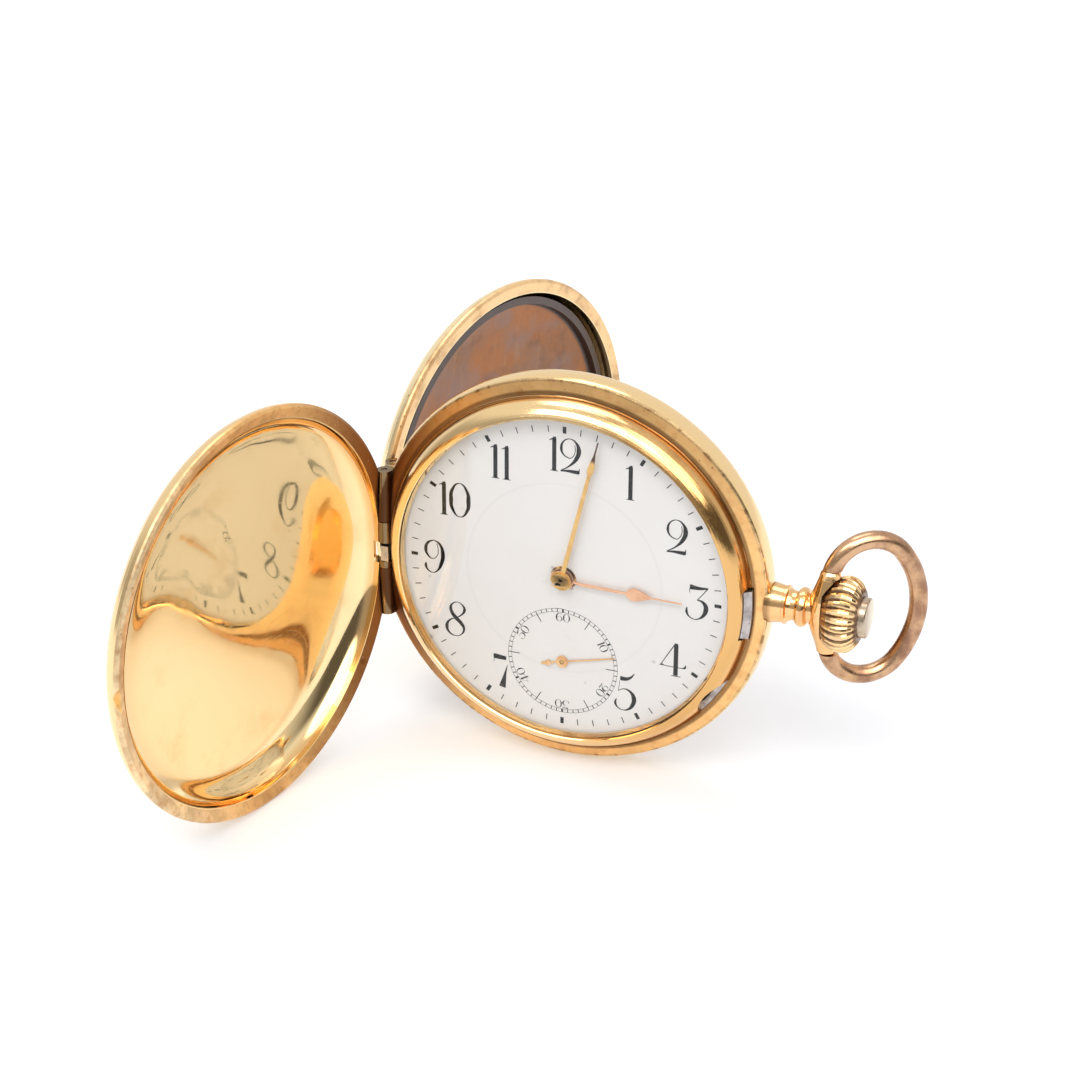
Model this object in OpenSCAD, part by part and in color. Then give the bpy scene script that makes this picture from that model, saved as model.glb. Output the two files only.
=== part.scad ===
// Full hunter pocket watch, standing open like a book on the edges of its case and covers.
// Pieces are drawn lying down: x towards 3 o'clock, y towards 12 o'clock, z out of the dial,
// with the dial's front face at z = 0, and upright() then stands them on the table.

/* [Case] */
// Outer radius of the case band and of both covers
case_r = 26; // [25.6:0.1:26.6]
// Depth of the front cover's seat below the dial face, at its outer edge
front_seat = 1.6; // [1.5:0.05:1.8]
// Height of the case band between the two covers' seats
band_h = 3.4; // [3.2:0.05:3.6]
// Width of the flat rim on both covers
rim_w = 1.8; // [1.6:0.05:1.9]
// Fall of the front seat from its inner to its outer edge
seat_fall = 0.55; // [0.4:0.05:0.6]
// Height of the front cover's dome above its seat
front_dome = 5.2; // [5.1:0.05:5.6]
// Height of the back cover's dome below its seat
back_dome = 5; // [4.95:0.05:5.6]
// Sheet thickness of the covers at their middle
cover_wall = 0.6; // [0.5:0.05:0.65]
// How far the dust cover's edge lies inside the case's edge
cuvette_in = 2.5; // [2.3:0.1:2.8]
// Depth of the dust cover
cuvette_h = 2.85; // [2.8:0.05:3.1]
// Sheet thickness of the dust cover
cuvette_wall = 0.45; // [0.3:0.05:0.5]

/* [Hinges] */
// How far both hinge axes lie inside the case's edge
hinge_in = 1.2; // [1.1:0.05:1.3]
// Length of the hinge barrels
hinge_len = 20; // [19:0.5:21]
// Radius of the hinge barrels
knuckle_r = 1; // [0.95:0.01:1.02]
// Radius of the hinge pins
hinge_pin_r = 0.38; // [0.3:0.02:0.45]
// Angle that the front cover stands open
front_open = 102; // [60:0.5:105]
// Angle that the back cover stands open
back_open = 73.7; // [50:0.1:80]
// How much further than the back cover the dust cover stands open
cuvette_lean = 1.2; // [0:0.1:1.2]

/* [Pendant, crown and bow] */
// Depth of the winding stem's axis below the dial face
stem_z = 3.5; // [3.4:0.05:3.5]
// Distance of the bow's pins beyond the case's edge
bow_pivot_out = 6.8; // [6.6:0.1:7]
// Half width across the pendant's ears
ear_y = 5.55; // [5.4:0.05:5.7]
// Half width of the bow, to the middle of its wire
bow_half_w = 9.1; // [8.8:0.1:9.6]
// Reach of the bow past its pins, to the middle of its wire
bow_reach = 11.4; // [11.2:0.1:12]
// Thickness of the bow's wire
bow_wire = 2.3; // [2:0.05:2.4]
// Angle that the bow hangs back from the plane of the case
bow_tilt = 33; // [0:1:60]
// Largest radius of the crown
crown_r = 4.75; // [4.6:0.05:4.8]
// Length of the crown
crown_len = 4.4; // [4.2:0.1:4.5]
// Number of flutes round the crown
crown_flutes = 26; // [20:1:30]
// Radius of the push button in the crown
button_r = 2.5; // [2.3:0.05:2.6]
// How far the push button stands out of the crown
button_out = 0.9; // [0.8:0.05:1.1]

/* [Dial, glass and hands] */
// Radius of the enamel dial
dial_r = 21.8; // [21.6:0.05:21.85]
// Thickness of the dial
dial_t = 0.8; // [0.6:0.05:0.9]
// Radius of the ring of minute marks, which the hands' lengths follow
track_r = 20; // [19.8:0.05:20.1]
// Distance of the small seconds dial below the middle
seconds_y = 11.5; // [11.4:0.1:11.6]
// Thickness of the glass
glass_t = 0.5; // [0.4:0.05:0.55]
// Rise of the glass at its middle
glass_rise = 1; // [0.8:0.05:1.05]
// Minutes shown past three o'clock
shown_minutes = 2.23; // [0:0.01:59]

/* [Movement] */
// Radius of the movement's plates
plate_r = 20.6; // [20.5:0.05:20.65]
// Depth of the main plate's back face below the dial face
plate_back = 3.6; // [3.5:0.05:3.7]
// Space for the wheels between the main plate and the bridges
train_gap = 2; // [1.95:0.05:2.1]
// Thickness of the bridges
bridge_t = 1.4; // [1.3:0.05:1.45]
// Radius of the ruby bearings
jewel_r = 0.75; // [0.6:0.05:0.9]
// Radius of the balance wheel's rim
balance_r = 5.3; // [5:0.1:5.4]
// Turns of the hairspring
hair_turns = 5.5; // [4.5:0.5:6]
// Running clearance of pivots, pins and sliding pieces
running = 0.04; // [0.03:0.01:0.06]

/* [Hidden] */
$fn = 96;
steps = 20;
play = 0.05;
gap = 0.12;

// Levels below the dial face, as z values
front_z = -front_seat;
back_z = front_z - band_h;
stem_axis_z = -stem_z;
dial_back = -dial_t;
plate_z = -plate_back;
bridge_z = plate_z - train_gap;
top_z = bridge_z - bridge_t;
front_axis_z = front_z;
back_axis_z = back_z + 0.7;

// Rings of the case, from the movement outwards
hinge_x = case_r - hinge_in;
cuvette_r = case_r - cuvette_in;
bow_pivot_x = case_r + bow_pivot_out;
bore_r = plate_r + 0.15;
flange_r = dial_r - 0.2;
neck_in_r = dial_r + 0.1;
neck_out_r = neck_in_r + 0.8;
rim_in_r = case_r - rim_w;
bezel_r = rim_in_r - 0.3;
seat_in_r = rim_in_r - 0.15;
seat_in_z = front_z + seat_fall;
bezel_foot_z = seat_in_z - 0.12;
cuvette_seat_z = back_z - 0.4;
back_neck_r = cuvette_r - 1.1;
lip_r = dial_r - 0.1;
lip_z = 1.65;
channel_in_r = neck_out_r + 0.1;
channel_out_r = channel_in_r + 1;

// Wheels: teeth, module and place of each arbor
barrel_teeth = 90;
centre_leaves = 12;
centre_teeth = 80;
third_leaves = 10;
third_teeth = 75;
fourth_leaves = 10;
fourth_teeth = 70;
escape_leaves = 7;
barrel_m = 0.2;
centre_m = 0.175;
third_m = 0.155;
fourth_m = 0.13;
ratchet_teeth = 60;
crown_teeth = 36;
keyless_m = 0.2;
cannon_teeth = 12;
minute_teeth = 36;
minute_leaves = 10;
hour_teeth = 40;
motion_m = 0.17;
centre_at = [0, 0];
fourth_at = [0, -seconds_y];
barrel_at = mesh_r(barrel_m, barrel_teeth, centre_leaves) * [cos(45), sin(45)];
third_c = mesh_r(centre_m, centre_teeth, third_leaves);
third_f = mesh_r(third_m, third_teeth, fourth_leaves);
third_y = (seconds_y * seconds_y + third_c * third_c - third_f * third_f) / (2 * seconds_y);
third_at = [sqrt(third_c * third_c - third_y * third_y), -third_y];
escape_at = fourth_at + mesh_r(fourth_m, fourth_teeth, escape_leaves) * [cos(160), sin(160)];
pallet_at = escape_at + 3.6 * [cos(150), sin(150)];
balance_at = pallet_at + 4.3 * [cos(120), sin(120)];
wind_c = mesh_r(keyless_m, ratchet_teeth, crown_teeth);
crown_wheel_at = [barrel_at[0] + sqrt(wind_c * wind_c - barrel_at[1] * barrel_at[1]), 0];
motion_d = mesh_r(motion_m, cannon_teeth, minute_teeth);
hour_m = 2 * motion_d / (minute_leaves + hour_teeth);
minute_wheel_at = motion_d * [cos(215), sin(215)];
click_at = [2.4, 15.2];

function mesh_r(m, a, b) = m * (a + b) / 2;
function towards(a, b) = atan2(b[1] - a[1], b[0] - a[0]);
function polar(r, a) = [r * cos(a), r * sin(a)];
// Outline of a toothed wheel: four corners to a tooth, the first tooth pointing along +x
function teeth(n, m) = [
    for (i = [0:n - 1], k = [0:3])
        polar(m * n / 2 + (k == 1 || k == 2 ? 0.85 : -1.1) * m,
            360 / n * (i + [-0.29, -0.12, 0.12, 0.29][k]))];
// Height of a domed sheet over radius r: the higher the power, the flatter its middle
function dome(r, edge, h, power) = h * pow(max(0, 1 - pow(r / edge, power)), power > 6 ? 0.45 : 0.5);
// Radii that crowd together towards the edge of a dome
function dome_radii(edge) = [for (i = [0:steps]) edge * sin(90 * i / steps)];
// Ribbon wound into a spiral: out along one side and back along the other
function spiral(r0, r1, turns, t) = [
    for (s = [0, 1], i = [0:turns * 24])
        let (k = s == 0 ? i : turns * 24 - i, a = 15 * k)
            polar(r0 + (r1 - r0) * k / (turns * 24) + (s == 0 ? -t / 2 : t / 2), a)];
// Least gap between the turns of that ribbon, measured between points half a turn or more apart
function least_gap(r0, r1, turns, t) =
    let (p = [for (i = [0:turns * 24]) polar(r0 + (r1 - r0) * i / (turns * 24), 15 * i)])
        min([for (i = [0:len(p) - 1], j = [i + 12:1:len(p) - 1]) norm(p[i] - p[j])]) - t;

module upright() translate([0, 0, case_r]) rotate([90, 0, 0]) children();
module at(p, z) translate([p[0], p[1], z]) children();
module post(p, z0, z1, r) at(p, min(z0, z1)) cylinder(h = abs(z1 - z0), r = r);
module slab(p, z0, z1) at(p, min(z0, z1)) linear_extrude(abs(z1 - z0)) children();
module along_stem() translate([0, 0, stem_axis_z]) rotate([0, 90, 0]) children();
module ring(z0, z1, r_in, r_out) slab([0, 0], z0, z1) difference() {
    circle(r_out);
    circle(r_in);
}
// Flat arc between two radii and two angles, measured anticlockwise from 3 o'clock
module arc(r_in, r_out, a0, a1) polygon(concat(
    [for (i = [0:24]) polar(r_in, a0 + (a1 - a0) * i / 24)],
    [for (i = [24:-1:0]) polar(r_out, a0 + (a1 - a0) * i / 24)]));
module wheel_blank(n, m, phase) rotate(phase) polygon(teeth(n, m));
// Wheel with a rim, a hub and crossings of equal arms
module crossed_wheel(n, m, phase, arms, rim, hub) {
    difference() {
        wheel_blank(n, m, phase);
        circle(m * n / 2 - rim);
    }
    difference() {
        circle(hub);
        circle(hub / 2);
    }
    for (i = [0:arms - 1]) rotate(360 * i / arms)
        translate([hub * 0.9, -hub * 0.28]) square([m * n / 2 - rim - hub * 0.8, hub * 0.56]);
}
// Screw lying head up at depth z, with a slot
module screw(p, z, r, head, len) {
    difference() {
        post(p, z, z + head, r);
        at(p, z - 0.01) translate([-r - 1, -r * 0.14, 0]) cube([2 * r + 2, r * 0.28, head * 0.45]);
    }
    post(p, z + head, z + head + len, r * 0.5);
}

// Case band: the ring that the movement, covers, bezel and pendant are all built on
module case_middle() color("goldenrod") upright() difference() {
    union() {
        rotate_extrude() band_section();
        hinge_block();
        for (span = front_case_spans) knuckle(front_axis_z, span);
        for (span = back_case_spans) knuckle(back_axis_z, span);
    }
    for (span = front_case_gaps) barrel_cut(front_axis_z, span, gap);
    for (span = back_case_gaps) barrel_cut(back_axis_z, span, gap);
    barrel_cut(front_axis_z, [-hinge_len, hinge_len], hinge_pin_r - knuckle_r + running);
    barrel_cut(back_axis_z, [-hinge_len, hinge_len], hinge_pin_r - knuckle_r + running);
    pendant_seat();
    spring_channels();
    for (a = screw_angles) rotate(a) {
        post([neck_in_r - 0.5, 0], front_z - 1.9, 0, case_screw_r + 0.1);
    }
}
module band_section() polygon(concat(
    [[bore_r, front_z], [neck_in_r, front_z], [neck_in_r, -0.1], [neck_out_r, -0.1],
        [neck_out_r, bezel_foot_z], [seat_in_r, bezel_foot_z], [seat_in_r, seat_in_z]],
    [for (i = [0:12]) let (t = 90 - 15 * i)
        [case_r - 0.4 + 0.4 * cos(t), (front_z + back_z) / 2 + band_h / 2 * sin(t)]],
    [[seat_in_r, back_z - 0.15], [seat_in_r, cuvette_seat_z], [back_neck_r, cuvette_seat_z],
        [back_neck_r, cuvette_seat_z - 0.9], [bore_r, cuvette_seat_z - 0.9]]));
// Block between the two hinge barrels, filled out to the flat of the hinge
module hinge_block() intersection() {
    translate([-hinge_x - 0.8, -hinge_len / 2, back_axis_z])
        cube([4, hinge_len, front_axis_z - back_axis_z]);
    cylinder(h = 60, r = case_r + 1.1, center = true);
    difference() {
        cylinder(h = 60, r = case_r + 2, center = true);
        cylinder(h = 70, r = neck_out_r, center = true);
    }
}
module knuckle(z, span) translate([-hinge_x, span[0], z]) rotate([-90, 0, 0])
    cylinder(h = span[1] - span[0], r = knuckle_r);
module barrel_cut(z, span, more) translate([-hinge_x, span[0], z]) rotate([-90, 0, 0])
    cylinder(h = span[1] - span[0], r = knuckle_r + more);
// The barrels' lengths, shared out between the case and the covers, along y
end_in = 0.3 * hinge_len;
front_case_spans = [[end_in - 3 + play, hinge_len / 2], [-hinge_len / 2, -3.4 - play]];
front_case_gaps = [[-3.4 - play, end_in - 3 + play]];
front_cover_spans = [[0.1, end_in - 3 - play], [-3.4, -2.45]];
back_case_spans = [[end_in + play, hinge_len / 2], [-hinge_len / 2, -end_in - play]];
back_case_gaps = [[-end_in - play, end_in + play]];
back_cover_spans = [[2.05, end_in], [-end_in, -2.05]];
cuvette_span = [-1.95, 1.95];
module pendant_seat() along_stem() {
    translate([0, 0, pendant_x]) cylinder(h = 10, r = pendant_r + running);
    translate([0, 0, plate_r - 2]) cylinder(h = 10, r = collar_r + 0.1);
}
// Arc channels under the bezel for the two case springs, which are placed by their angles
lock_head_a = -2;
catch_half_a = 7.7;
lock_end_a = -46;
lift_end_a = 142;
catch_in_r = bezel_r - 0.7;
catch_out_r = rim_in_r - 0.1;
catch_z = [0, -0.5];
module catch_room(z0, z1, r_in, r_out, more) slab([0, 0], z0, z1)
    arc(r_in, r_out, lock_head_a - catch_half_a - more, lock_head_a + catch_half_a + more);
module spring_channels() {
    slab([0, 0], bezel_foot_z + 0.01, front_z - 1.75)
        arc(channel_in_r, channel_out_r, lock_end_a - 3, lock_head_a + catch_half_a + 1);
    catch_room(1, stem_axis_z - 1.1, neck_in_r + 0.25, channel_out_r, 0.7);
    catch_room(1, front_z - 0.45, channel_in_r, rim_in_r, 0.7);
    slab([0, 0], bezel_foot_z + 0.01, front_z - 1.75)
        arc(channel_in_r, channel_out_r, lift_end_a - 3, 187);
    translate([-hinge_x - 0.3, lift_tip_y[0] - 0.15, front_z - 0.95])
        cube([hinge_x - channel_in_r, lift_tip_y[1] - lift_tip_y[0] + 0.3, 4]);
    for (a = [lock_end_a + 1, lift_end_a + 1])
        post(polar(channel_in_r + 0.45, a), front_z - 2.6, 0, 0.27);
}
lift_tip_y = [-2.2, -0.15];

// Pendant: drum, neck, bead and the forked head that carries the bow
pendant_x = case_r - 0.7;
pendant_r = 2.5;
collar_r = 1.28;
module pendant() color("gold") upright() difference() {
    union() {
        along_stem() rotate_extrude() polygon(concat(
            [[0, pendant_x], [pendant_r, pendant_x], [pendant_r, pendant_x + 0.7],
                [pendant_r - 0.22, pendant_x + 2.1], [pendant_r - 0.08, pendant_x + 2.2],
                [pendant_r - 0.08, pendant_x + 2.5], [pendant_r - 0.4, pendant_x + 2.65],
                [pendant_r - 0.62, pendant_x + 3.1], [pendant_r - 0.66, pendant_x + 3.5]],
            [for (i = [0:8]) [pendant_r - 0.67 + 0.65 * sin(22.5 * i),
                pendant_x + 4.35 - 0.72 * cos(22.5 * i)]],
            [[pendant_r - 0.5, bow_pivot_x - 1.2], [0, bow_pivot_x - 1.2]]));
        translate([bow_pivot_x, 0, stem_axis_z]) rotate([-90, 0, 0]) rotate_extrude()
            polygon(concat([[0, -ear_y], [ear_tip_r, -ear_y]],
                [for (i = [-8:8]) [ear_r(i / 8), ear_neck_y * i / 8]],
                [[ear_tip_r, ear_y], [0, ear_y]]));
    }
    crown_pocket();
    along_stem() translate([0, 0, pendant_x - 1]) cylinder(h = 12, r = stem_r + running);
    along_stem() translate([0, 0, pendant_x - 1]) cylinder(h = 1.4, r = collar_r + 0.1);
    bow_pin_holes();
}
ear_tip_r = 0.95;
ear_neck_y = ear_y - 0.3;
function ear_r(t) = 1.22 + 1.35 * pow(cos(90 * t), 1.3);
module crown_pocket() along_stem() rotate_extrude() polygon([
    [0, crown_x - 0.15], [crown_r * 0.72, crown_x - 0.15], [crown_r * 0.84, crown_x + 0.3],
    [crown_r * 0.98 + 0.15, crown_x + 1.2], [crown_r + 0.15, crown_x + 2], [crown_r + 0.15, crown_x + 9],
    [0, crown_x + 9]]);
module bow_pin_holes() translate([bow_pivot_x, 0, stem_axis_z]) rotate([-90, 0, 0])
    cylinder(h = 2 * ear_y + 2, r = bow_pin_r + running, center = true);

// Bow: an oval of round wire whose ends turn in to two pins in the pendant's ears
bow_pin_r = 0.55;
bow_side_r = 5;
bow_mid = 5;
bow_b = bow_reach - bow_mid;
bow_a = bow_half_w - bow_side_r;
bow_tip_r = (bow_b * bow_b + bow_a * bow_a - bow_side_r * bow_side_r) / (2 * (bow_b - bow_side_r));
bow_turn = atan2(bow_a, bow_tip_r - bow_b);
bow_back = 76;
module bow() color("rosybrown") upright()
    translate([bow_pivot_x, 0, stem_axis_z]) rotate([0, bow_tilt, 0]) {
        difference() {
            union() {
                wire([bow_reach - bow_tip_r, 0], bow_tip_r, -bow_turn, bow_turn, bow_wire);
                for (s = [-1, 1])
                    wire([bow_mid, s * bow_a], bow_side_r, s * (bow_turn - 3), s * (90 + bow_back),
                        bow_wire - 0.02);
            }
            cube([8, 2 * (ear_y + 0.1), 8], center = true);
        }
        for (s = [-1, 1]) translate([0, s * (ear_y + 0.75), 0]) rotate([s * 90, 0, 0])
            cylinder(h = 1.65, r = bow_pin_r);
    }
module wire(centre, r, a0, a1, d) translate(centre) rotate([0, 0, min(a0, a1)])
    rotate_extrude(angle = abs(a1 - a0)) translate([r, 0]) circle(d = d);

// Crown: a fluted onion on the end of the stem, hollow for the push button
crown_x = bow_pivot_x - 0.3;
crown_end = crown_x + crown_len;
flute_depth = 0.34;
stem_r = 0.85;
stem_in_r = 0.75;
rod_r = 0.38;
// Rings up the fluted outside and back down the button's well and the stem's bore: radius, height, depth
crown_rings = concat(
    [for (s = [[0, 0.66], [0.1, 0.8], [0.22, 0.9], [0.38, 0.97], [0.55, 1], [0.7, 0.975], [0.83, 0.9],
        [0.93, 0.8], [1, 0.67]]) [crown_r * s[1], crown_x + s[0] * crown_len, flute_depth]],
    [for (z = [crown_end, crown_end - 1.6]) [button_r + running, z, 0]],
    [for (z = [crown_end - 1.6, crown_x + 2.1]) [rod_r + 0.1, z, 0]],
    [for (z = [crown_x + 2.1, crown_x]) [stem_r, z, 0]]);
module crown() color("gold") upright() along_stem() {
    n = crown_flutes * 4;
    rings = len(crown_rings);
    points = [for (c = crown_rings, j = [0:n - 1]) let (a = 360 * j / n)
        concat(polar(c[0] - c[2] * (1 - abs(cos(crown_flutes * a / 2))), a), [c[1]])];
    polyhedron(points, [for (k = [0:rings - 1], j = [0:n - 1], half = [0, 1])
        let (a = k * n + j, b = k * n + (j + 1) % n, c = (k + 1) % rings * n + j,
            d = (k + 1) % rings * n + (j + 1) % n)
            half == 0 ? [a, c, d] : [a, d, b]]);
}

// Push button: gold cap with a pale slightly domed end, on a rod down the hollow stem
rod_end = pendant_x - 1.5;
module push_button() color("silver") upright() along_stem() {
    rotate_extrude() polygon(concat(
        [[0, crown_end - 0.8], [button_r, crown_end - 0.8], [button_r, crown_end + button_out - 0.1]],
        [for (i = [0:6]) [(button_r - 0.1) * cos(15 * i), crown_end + button_out + 0.15 * sin(15 * i)]]));
    translate([0, 0, rod_end]) cylinder(h = crown_end - 0.8 - rod_end, r = rod_r);
}
// Collar pinned through the stem's slot to the button's rod: it bears on the lock spring
module push_collar() color("lightsteelblue") upright() along_stem() {
    translate([0, 0, rod_end + 0.1]) difference() {
        cylinder(h = 0.6, r = collar_r);
        translate([0, 0, -1]) cylinder(h = 3, r = stem_r + 0.06);
    }
    translate([0, 0, rod_end + 0.4]) rotate([0, 90, 0]) difference() {
        cylinder(h = 2 * stem_r + 0.3, r = 0.18, center = true);
        rotate([0, 90, 0]) cylinder(h = 2, r = rod_r, center = true);
    }
}

// Winding stem: hollow and slotted outside the movement, round then square within it
stem_tip = 13.2;
module winding_stem() color("lightsteelblue") upright() along_stem() difference() {
    union() {
        translate([0, 0, plate_r + 0.4]) cylinder(h = crown_x + 2 - plate_r - 0.4, r = stem_r);
        translate([0, 0, wind_x[0] - 0.1]) cylinder(h = plate_r + 0.6 - wind_x[0], r = stem_in_r);
        translate([-0.5, -0.5, stem_tip + 1.25]) cube([1, 1, wind_x[0] - stem_tip - 1.25]);
        translate([0, 0, stem_tip]) cylinder(h = 1.3, r = 0.4);
    }
    translate([0, 0, rod_end - 1.2]) cylinder(h = 20, r = rod_r + running);
    translate([-2, -0.25, rod_end - 0.75]) cube([4, 0.5, 1.65]);
}

// Covers: domed shells with a broad flat rim, on the middle knuckles of their hinges
flat_cut = 0.01;
module cover_solid(edge_z, fall, h, wall, well_power, sign) difference() {
    intersection() {
        rotate_extrude() polygon(concat(
            [[0, edge_z], [rim_in_r, edge_z + sign * (fall + 0.03)], [case_r - 0.4, edge_z + 0.03 * sign],
                [case_r - 0.05, edge_z + sign * 0.25]],
            [for (r = [steps:-1:0]) let (q = dome_radii(case_r)[r])
                [q, edge_z + sign * (0.55 + dome(q, case_r, h - 0.55, 5))]]));
        translate([-hinge_x, -50, sign > 0 ? -50 : edge_z - h + flat_cut])
            cube([100, 100, sign > 0 ? 50 + edge_z + h - flat_cut : 100]);
    }
    intersection() {
        rotate_extrude() polygon(concat(
            [[0, edge_z - sign * 1.5], [rim_in_r, edge_z - sign * 1.5],
                [rim_in_r, edge_z + sign * (fall + 0.05)]],
            [for (r = [steps:-1:0]) let (q = dome_radii(rim_in_r)[r])
                [q, edge_z + sign * (0.55 + dome(q, rim_in_r + 0.1, h - 0.55 - wall, well_power))]]));
        translate([-hinge_x + 0.6, -50, -50]) cube(100);
    }
}
module swing(z, angle) translate([-hinge_x, 0, z]) rotate([0, angle, 0])
    translate([hinge_x, 0, -z]) children();
module front_cover() color("goldenrod") upright() swing(front_axis_z, -front_open) difference() {
    union() {
        difference() {
            cover_solid(front_z, seat_fall, front_dome, cover_wall, 6, 1);
            barrel_cut(front_axis_z, [-hinge_len / 2 - 0.15, hinge_len / 2 + 0.15], gap);
            barrel_cut(front_axis_z, [lift_tip_y[0] - 0.15, lift_tip_y[1] + 0.15], 0.6);
            pendant_scallop();
        }
        for (span = front_cover_spans) hinge_lobe(front_axis_z, span, 1);
    }
    barrel_cut(front_axis_z, [-hinge_len, hinge_len], hinge_pin_r - knuckle_r + running);
}
module pendant_scallop() along_stem() translate([0, 0, pendant_x - 0.1])
    cylinder(h = 5, r = pendant_r + 0.1);
// Knuckle of a cover with the short web that joins it to the rim
module hinge_lobe(z, span, sign) {
    knuckle(z, span);
    intersection() {
        translate([-hinge_x, span[0], sign > 0 ? z + 0.4 : z - 1.45])
            cube([hinge_x - seat_in_r - 0.08, span[1] - span[0], 1.05]);
        cylinder(h = 60, r = case_r, center = true);
    }
}
module hinge_pin(z) translate([-hinge_x, -hinge_len / 2 + 0.1, z]) rotate([-90, 0, 0])
    cylinder(h = hinge_len - 0.2, r = hinge_pin_r);
module front_hinge_pin() color("gray") upright() hinge_pin(front_axis_z);
module back_hinge_pin() color("gray") upright() hinge_pin(back_axis_z);
module back_cover() color("goldenrod") upright() swing(back_axis_z, back_open) difference() {
    union() {
        difference() {
            cover_solid(back_z, 0.15, back_dome, cover_wall, 8, -1);
            barrel_cut(back_axis_z, [-hinge_len / 2 - 0.15, hinge_len / 2 + 0.15], gap);
            barrel_cut(back_axis_z, cuvette_span, 0.75);
            pendant_scallop();
        }
        for (span = back_cover_spans) hinge_lobe(back_axis_z, span, -1);
    }
    barrel_cut(back_axis_z, [-hinge_len, hinge_len], hinge_pin_r - knuckle_r + running);
}
// Dust cover: a shallow cup over the movement, hinged on the back cover's own pin
module cuvette() color("sienna") upright() swing(back_axis_z, back_open + cuvette_lean) difference() {
    union() {
        difference() {
            rotate_extrude() polygon(concat(
                [[0, cuvette_seat_z - 0.05], [cuvette_r, cuvette_seat_z - 0.05],
                    [cuvette_r, cuvette_seat_z - 0.5]],
                [for (r = [steps:-1:0]) let (q = dome_radii(cuvette_r)[r])
                    [q, cuvette_seat_z - 0.5 - dome(q, cuvette_r, cuvette_h - 0.5, 6)]]));
            rotate_extrude() polygon(concat(
                [[0, cuvette_seat_z + 1], [back_neck_r + 0.08, cuvette_seat_z + 1],
                    [back_neck_r + 0.08, cuvette_seat_z - 1]],
                [for (r = [steps:-1:0]) let (q = dome_radii(back_neck_r)[r])
                    [q, cuvette_seat_z - 1 - dome(q, back_neck_r, cuvette_h - 1 - cuvette_wall, 6)]]));
        }
        knuckle(back_axis_z, cuvette_span);
        translate([-hinge_x, cuvette_span[0], cuvette_seat_z - 0.5])
            cube([hinge_x - cuvette_r + 0.6, cuvette_span[1] - cuvette_span[0], 0.45]);
        translate([-hinge_x, cuvette_span[0], cuvette_seat_z - 0.5])
            cube([hinge_x - seat_in_r - 0.08, cuvette_span[1] - cuvette_span[0], 1.1]);
    }
    barrel_cut(back_axis_z, [-hinge_len, hinge_len], hinge_pin_r - knuckle_r + running);
}

// Bezel: snapped over the front neck of the band, with a groove that holds the glass
notch_a = -33.7;
notch_r = 5.3;
notch_depth = 1.3;
bead = 0.25;
module bezel() color("goldenrod") upright() difference() {
    rotate_extrude() difference() {
        polygon(concat([[lip_r - 0.4, 0.2], [lip_r - 0.4, 0.5], [lip_r - 0.15, glass_z],
            [lip_r - 0.05, glass_z], [lip_r - 0.05, lip_z - 0.1], [lip_r + 0.05, lip_z]],
            [for (i = [1:10]) let (t = i / 10)
                [lip_r + 0.05 + (bezel_r - bead - lip_r - 0.05) * (t + 0.16 * sin(180 * t)),
                    lip_z + (seat_in_z + bead - lip_z) * (t * 0.55 + 0.45 * t * t)]],
            [[bezel_r - bead * 0.8, seat_in_z + bead * 0.3], [bezel_r - bead * 0.3, seat_in_z + bead * 0.6],
                [bezel_r, seat_in_z + bead * 0.1], [bezel_r, bezel_foot_z],
                [neck_out_r + 0.03, bezel_foot_z], [neck_out_r + 0.03, 0],
                [neck_in_r - 0.05, 0], [neck_in_r - 0.05, 0.2]]));
        translate([lip_r - 0.45, glass_z]) square([0.65, glass_t + 0.04]);
    }
    catch_room(-3, catch_z[0] + 0.06, neck_out_r - 0.1, bezel_r + 1, 0.7);
    catch_room(-3, catch_z[0] + 1, catch_in_r - 0.06, bezel_r + 1, 0.4);
    post(polar(bezel_r + notch_r - notch_depth, notch_a), -3, 1.5, notch_r);
}
glass_z = 0.95;
// Glass: a thin watch crystal, a little domed
glass_r = lip_r + 0.17;
glass_ball = (glass_r * glass_r + glass_rise * glass_rise) / (2 * glass_rise);
module crystal() color("white", 0.3) upright() intersection() {
    difference() {
        translate([0, 0, glass_z + 0.02 + glass_t + glass_rise - glass_ball]) sphere(glass_ball, $fn = 180);
        translate([0, 0, glass_z + 0.02 + glass_rise - glass_ball]) sphere(glass_ball, $fn = 180);
    }
    translate([0, 0, glass_z + 0.02]) cylinder(h = 4, r = glass_r);
}

// Lock spring: a steel arc under the bezel, its head catches the front cover at 3 o'clock, and
// its broad end shows in the bezel's thumb notch
head_r = channel_in_r + 0.7;
module lock_spring() color("silver") upright() difference() {
    union() {
        slab([0, 0], front_z - 0.35, front_z - 1.7)
            arc(channel_in_r + 0.35, channel_out_r - 0.2, lock_end_a, lock_head_a + 7.5);
        slab([0, 0], front_z - 1.7, front_z - 0.35)
            arc(channel_in_r + 0.1, channel_out_r - 0.1, lock_end_a - 2, lock_end_a + 4);
        slab([0, 0], front_z - 1.7, bezel_foot_z - 0.05)
            arc(channel_in_r + 0.25, channel_out_r - 0.07, lock_end_a + 2.6, notch_a + 9);
        slab([0, 0], stem_axis_z - 0.9, bezel_foot_z - 0.1)
            arc(channel_in_r + 0.1, head_r, lock_head_a - 5, lock_head_a + 7.5);
        rotate([0, 0, lock_head_a - catch_half_a]) rotate_extrude(angle = 2 * catch_half_a) polygon([
            [catch_in_r, front_z - 0.4], [catch_in_r, catch_z[0]], [catch_out_r, catch_z[1]],
            [catch_out_r, front_z - 0.4]]);
    }
    along_stem() cylinder(h = 60, r = stem_r + 0.2);
    translate([20, -stem_r - 0.2, stem_axis_z - 3]) cube([4, 2 * stem_r + 0.4, 3]);
    post(polar(channel_in_r + 0.45, lock_end_a + 1), 0, -9, 0.27);
}
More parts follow.
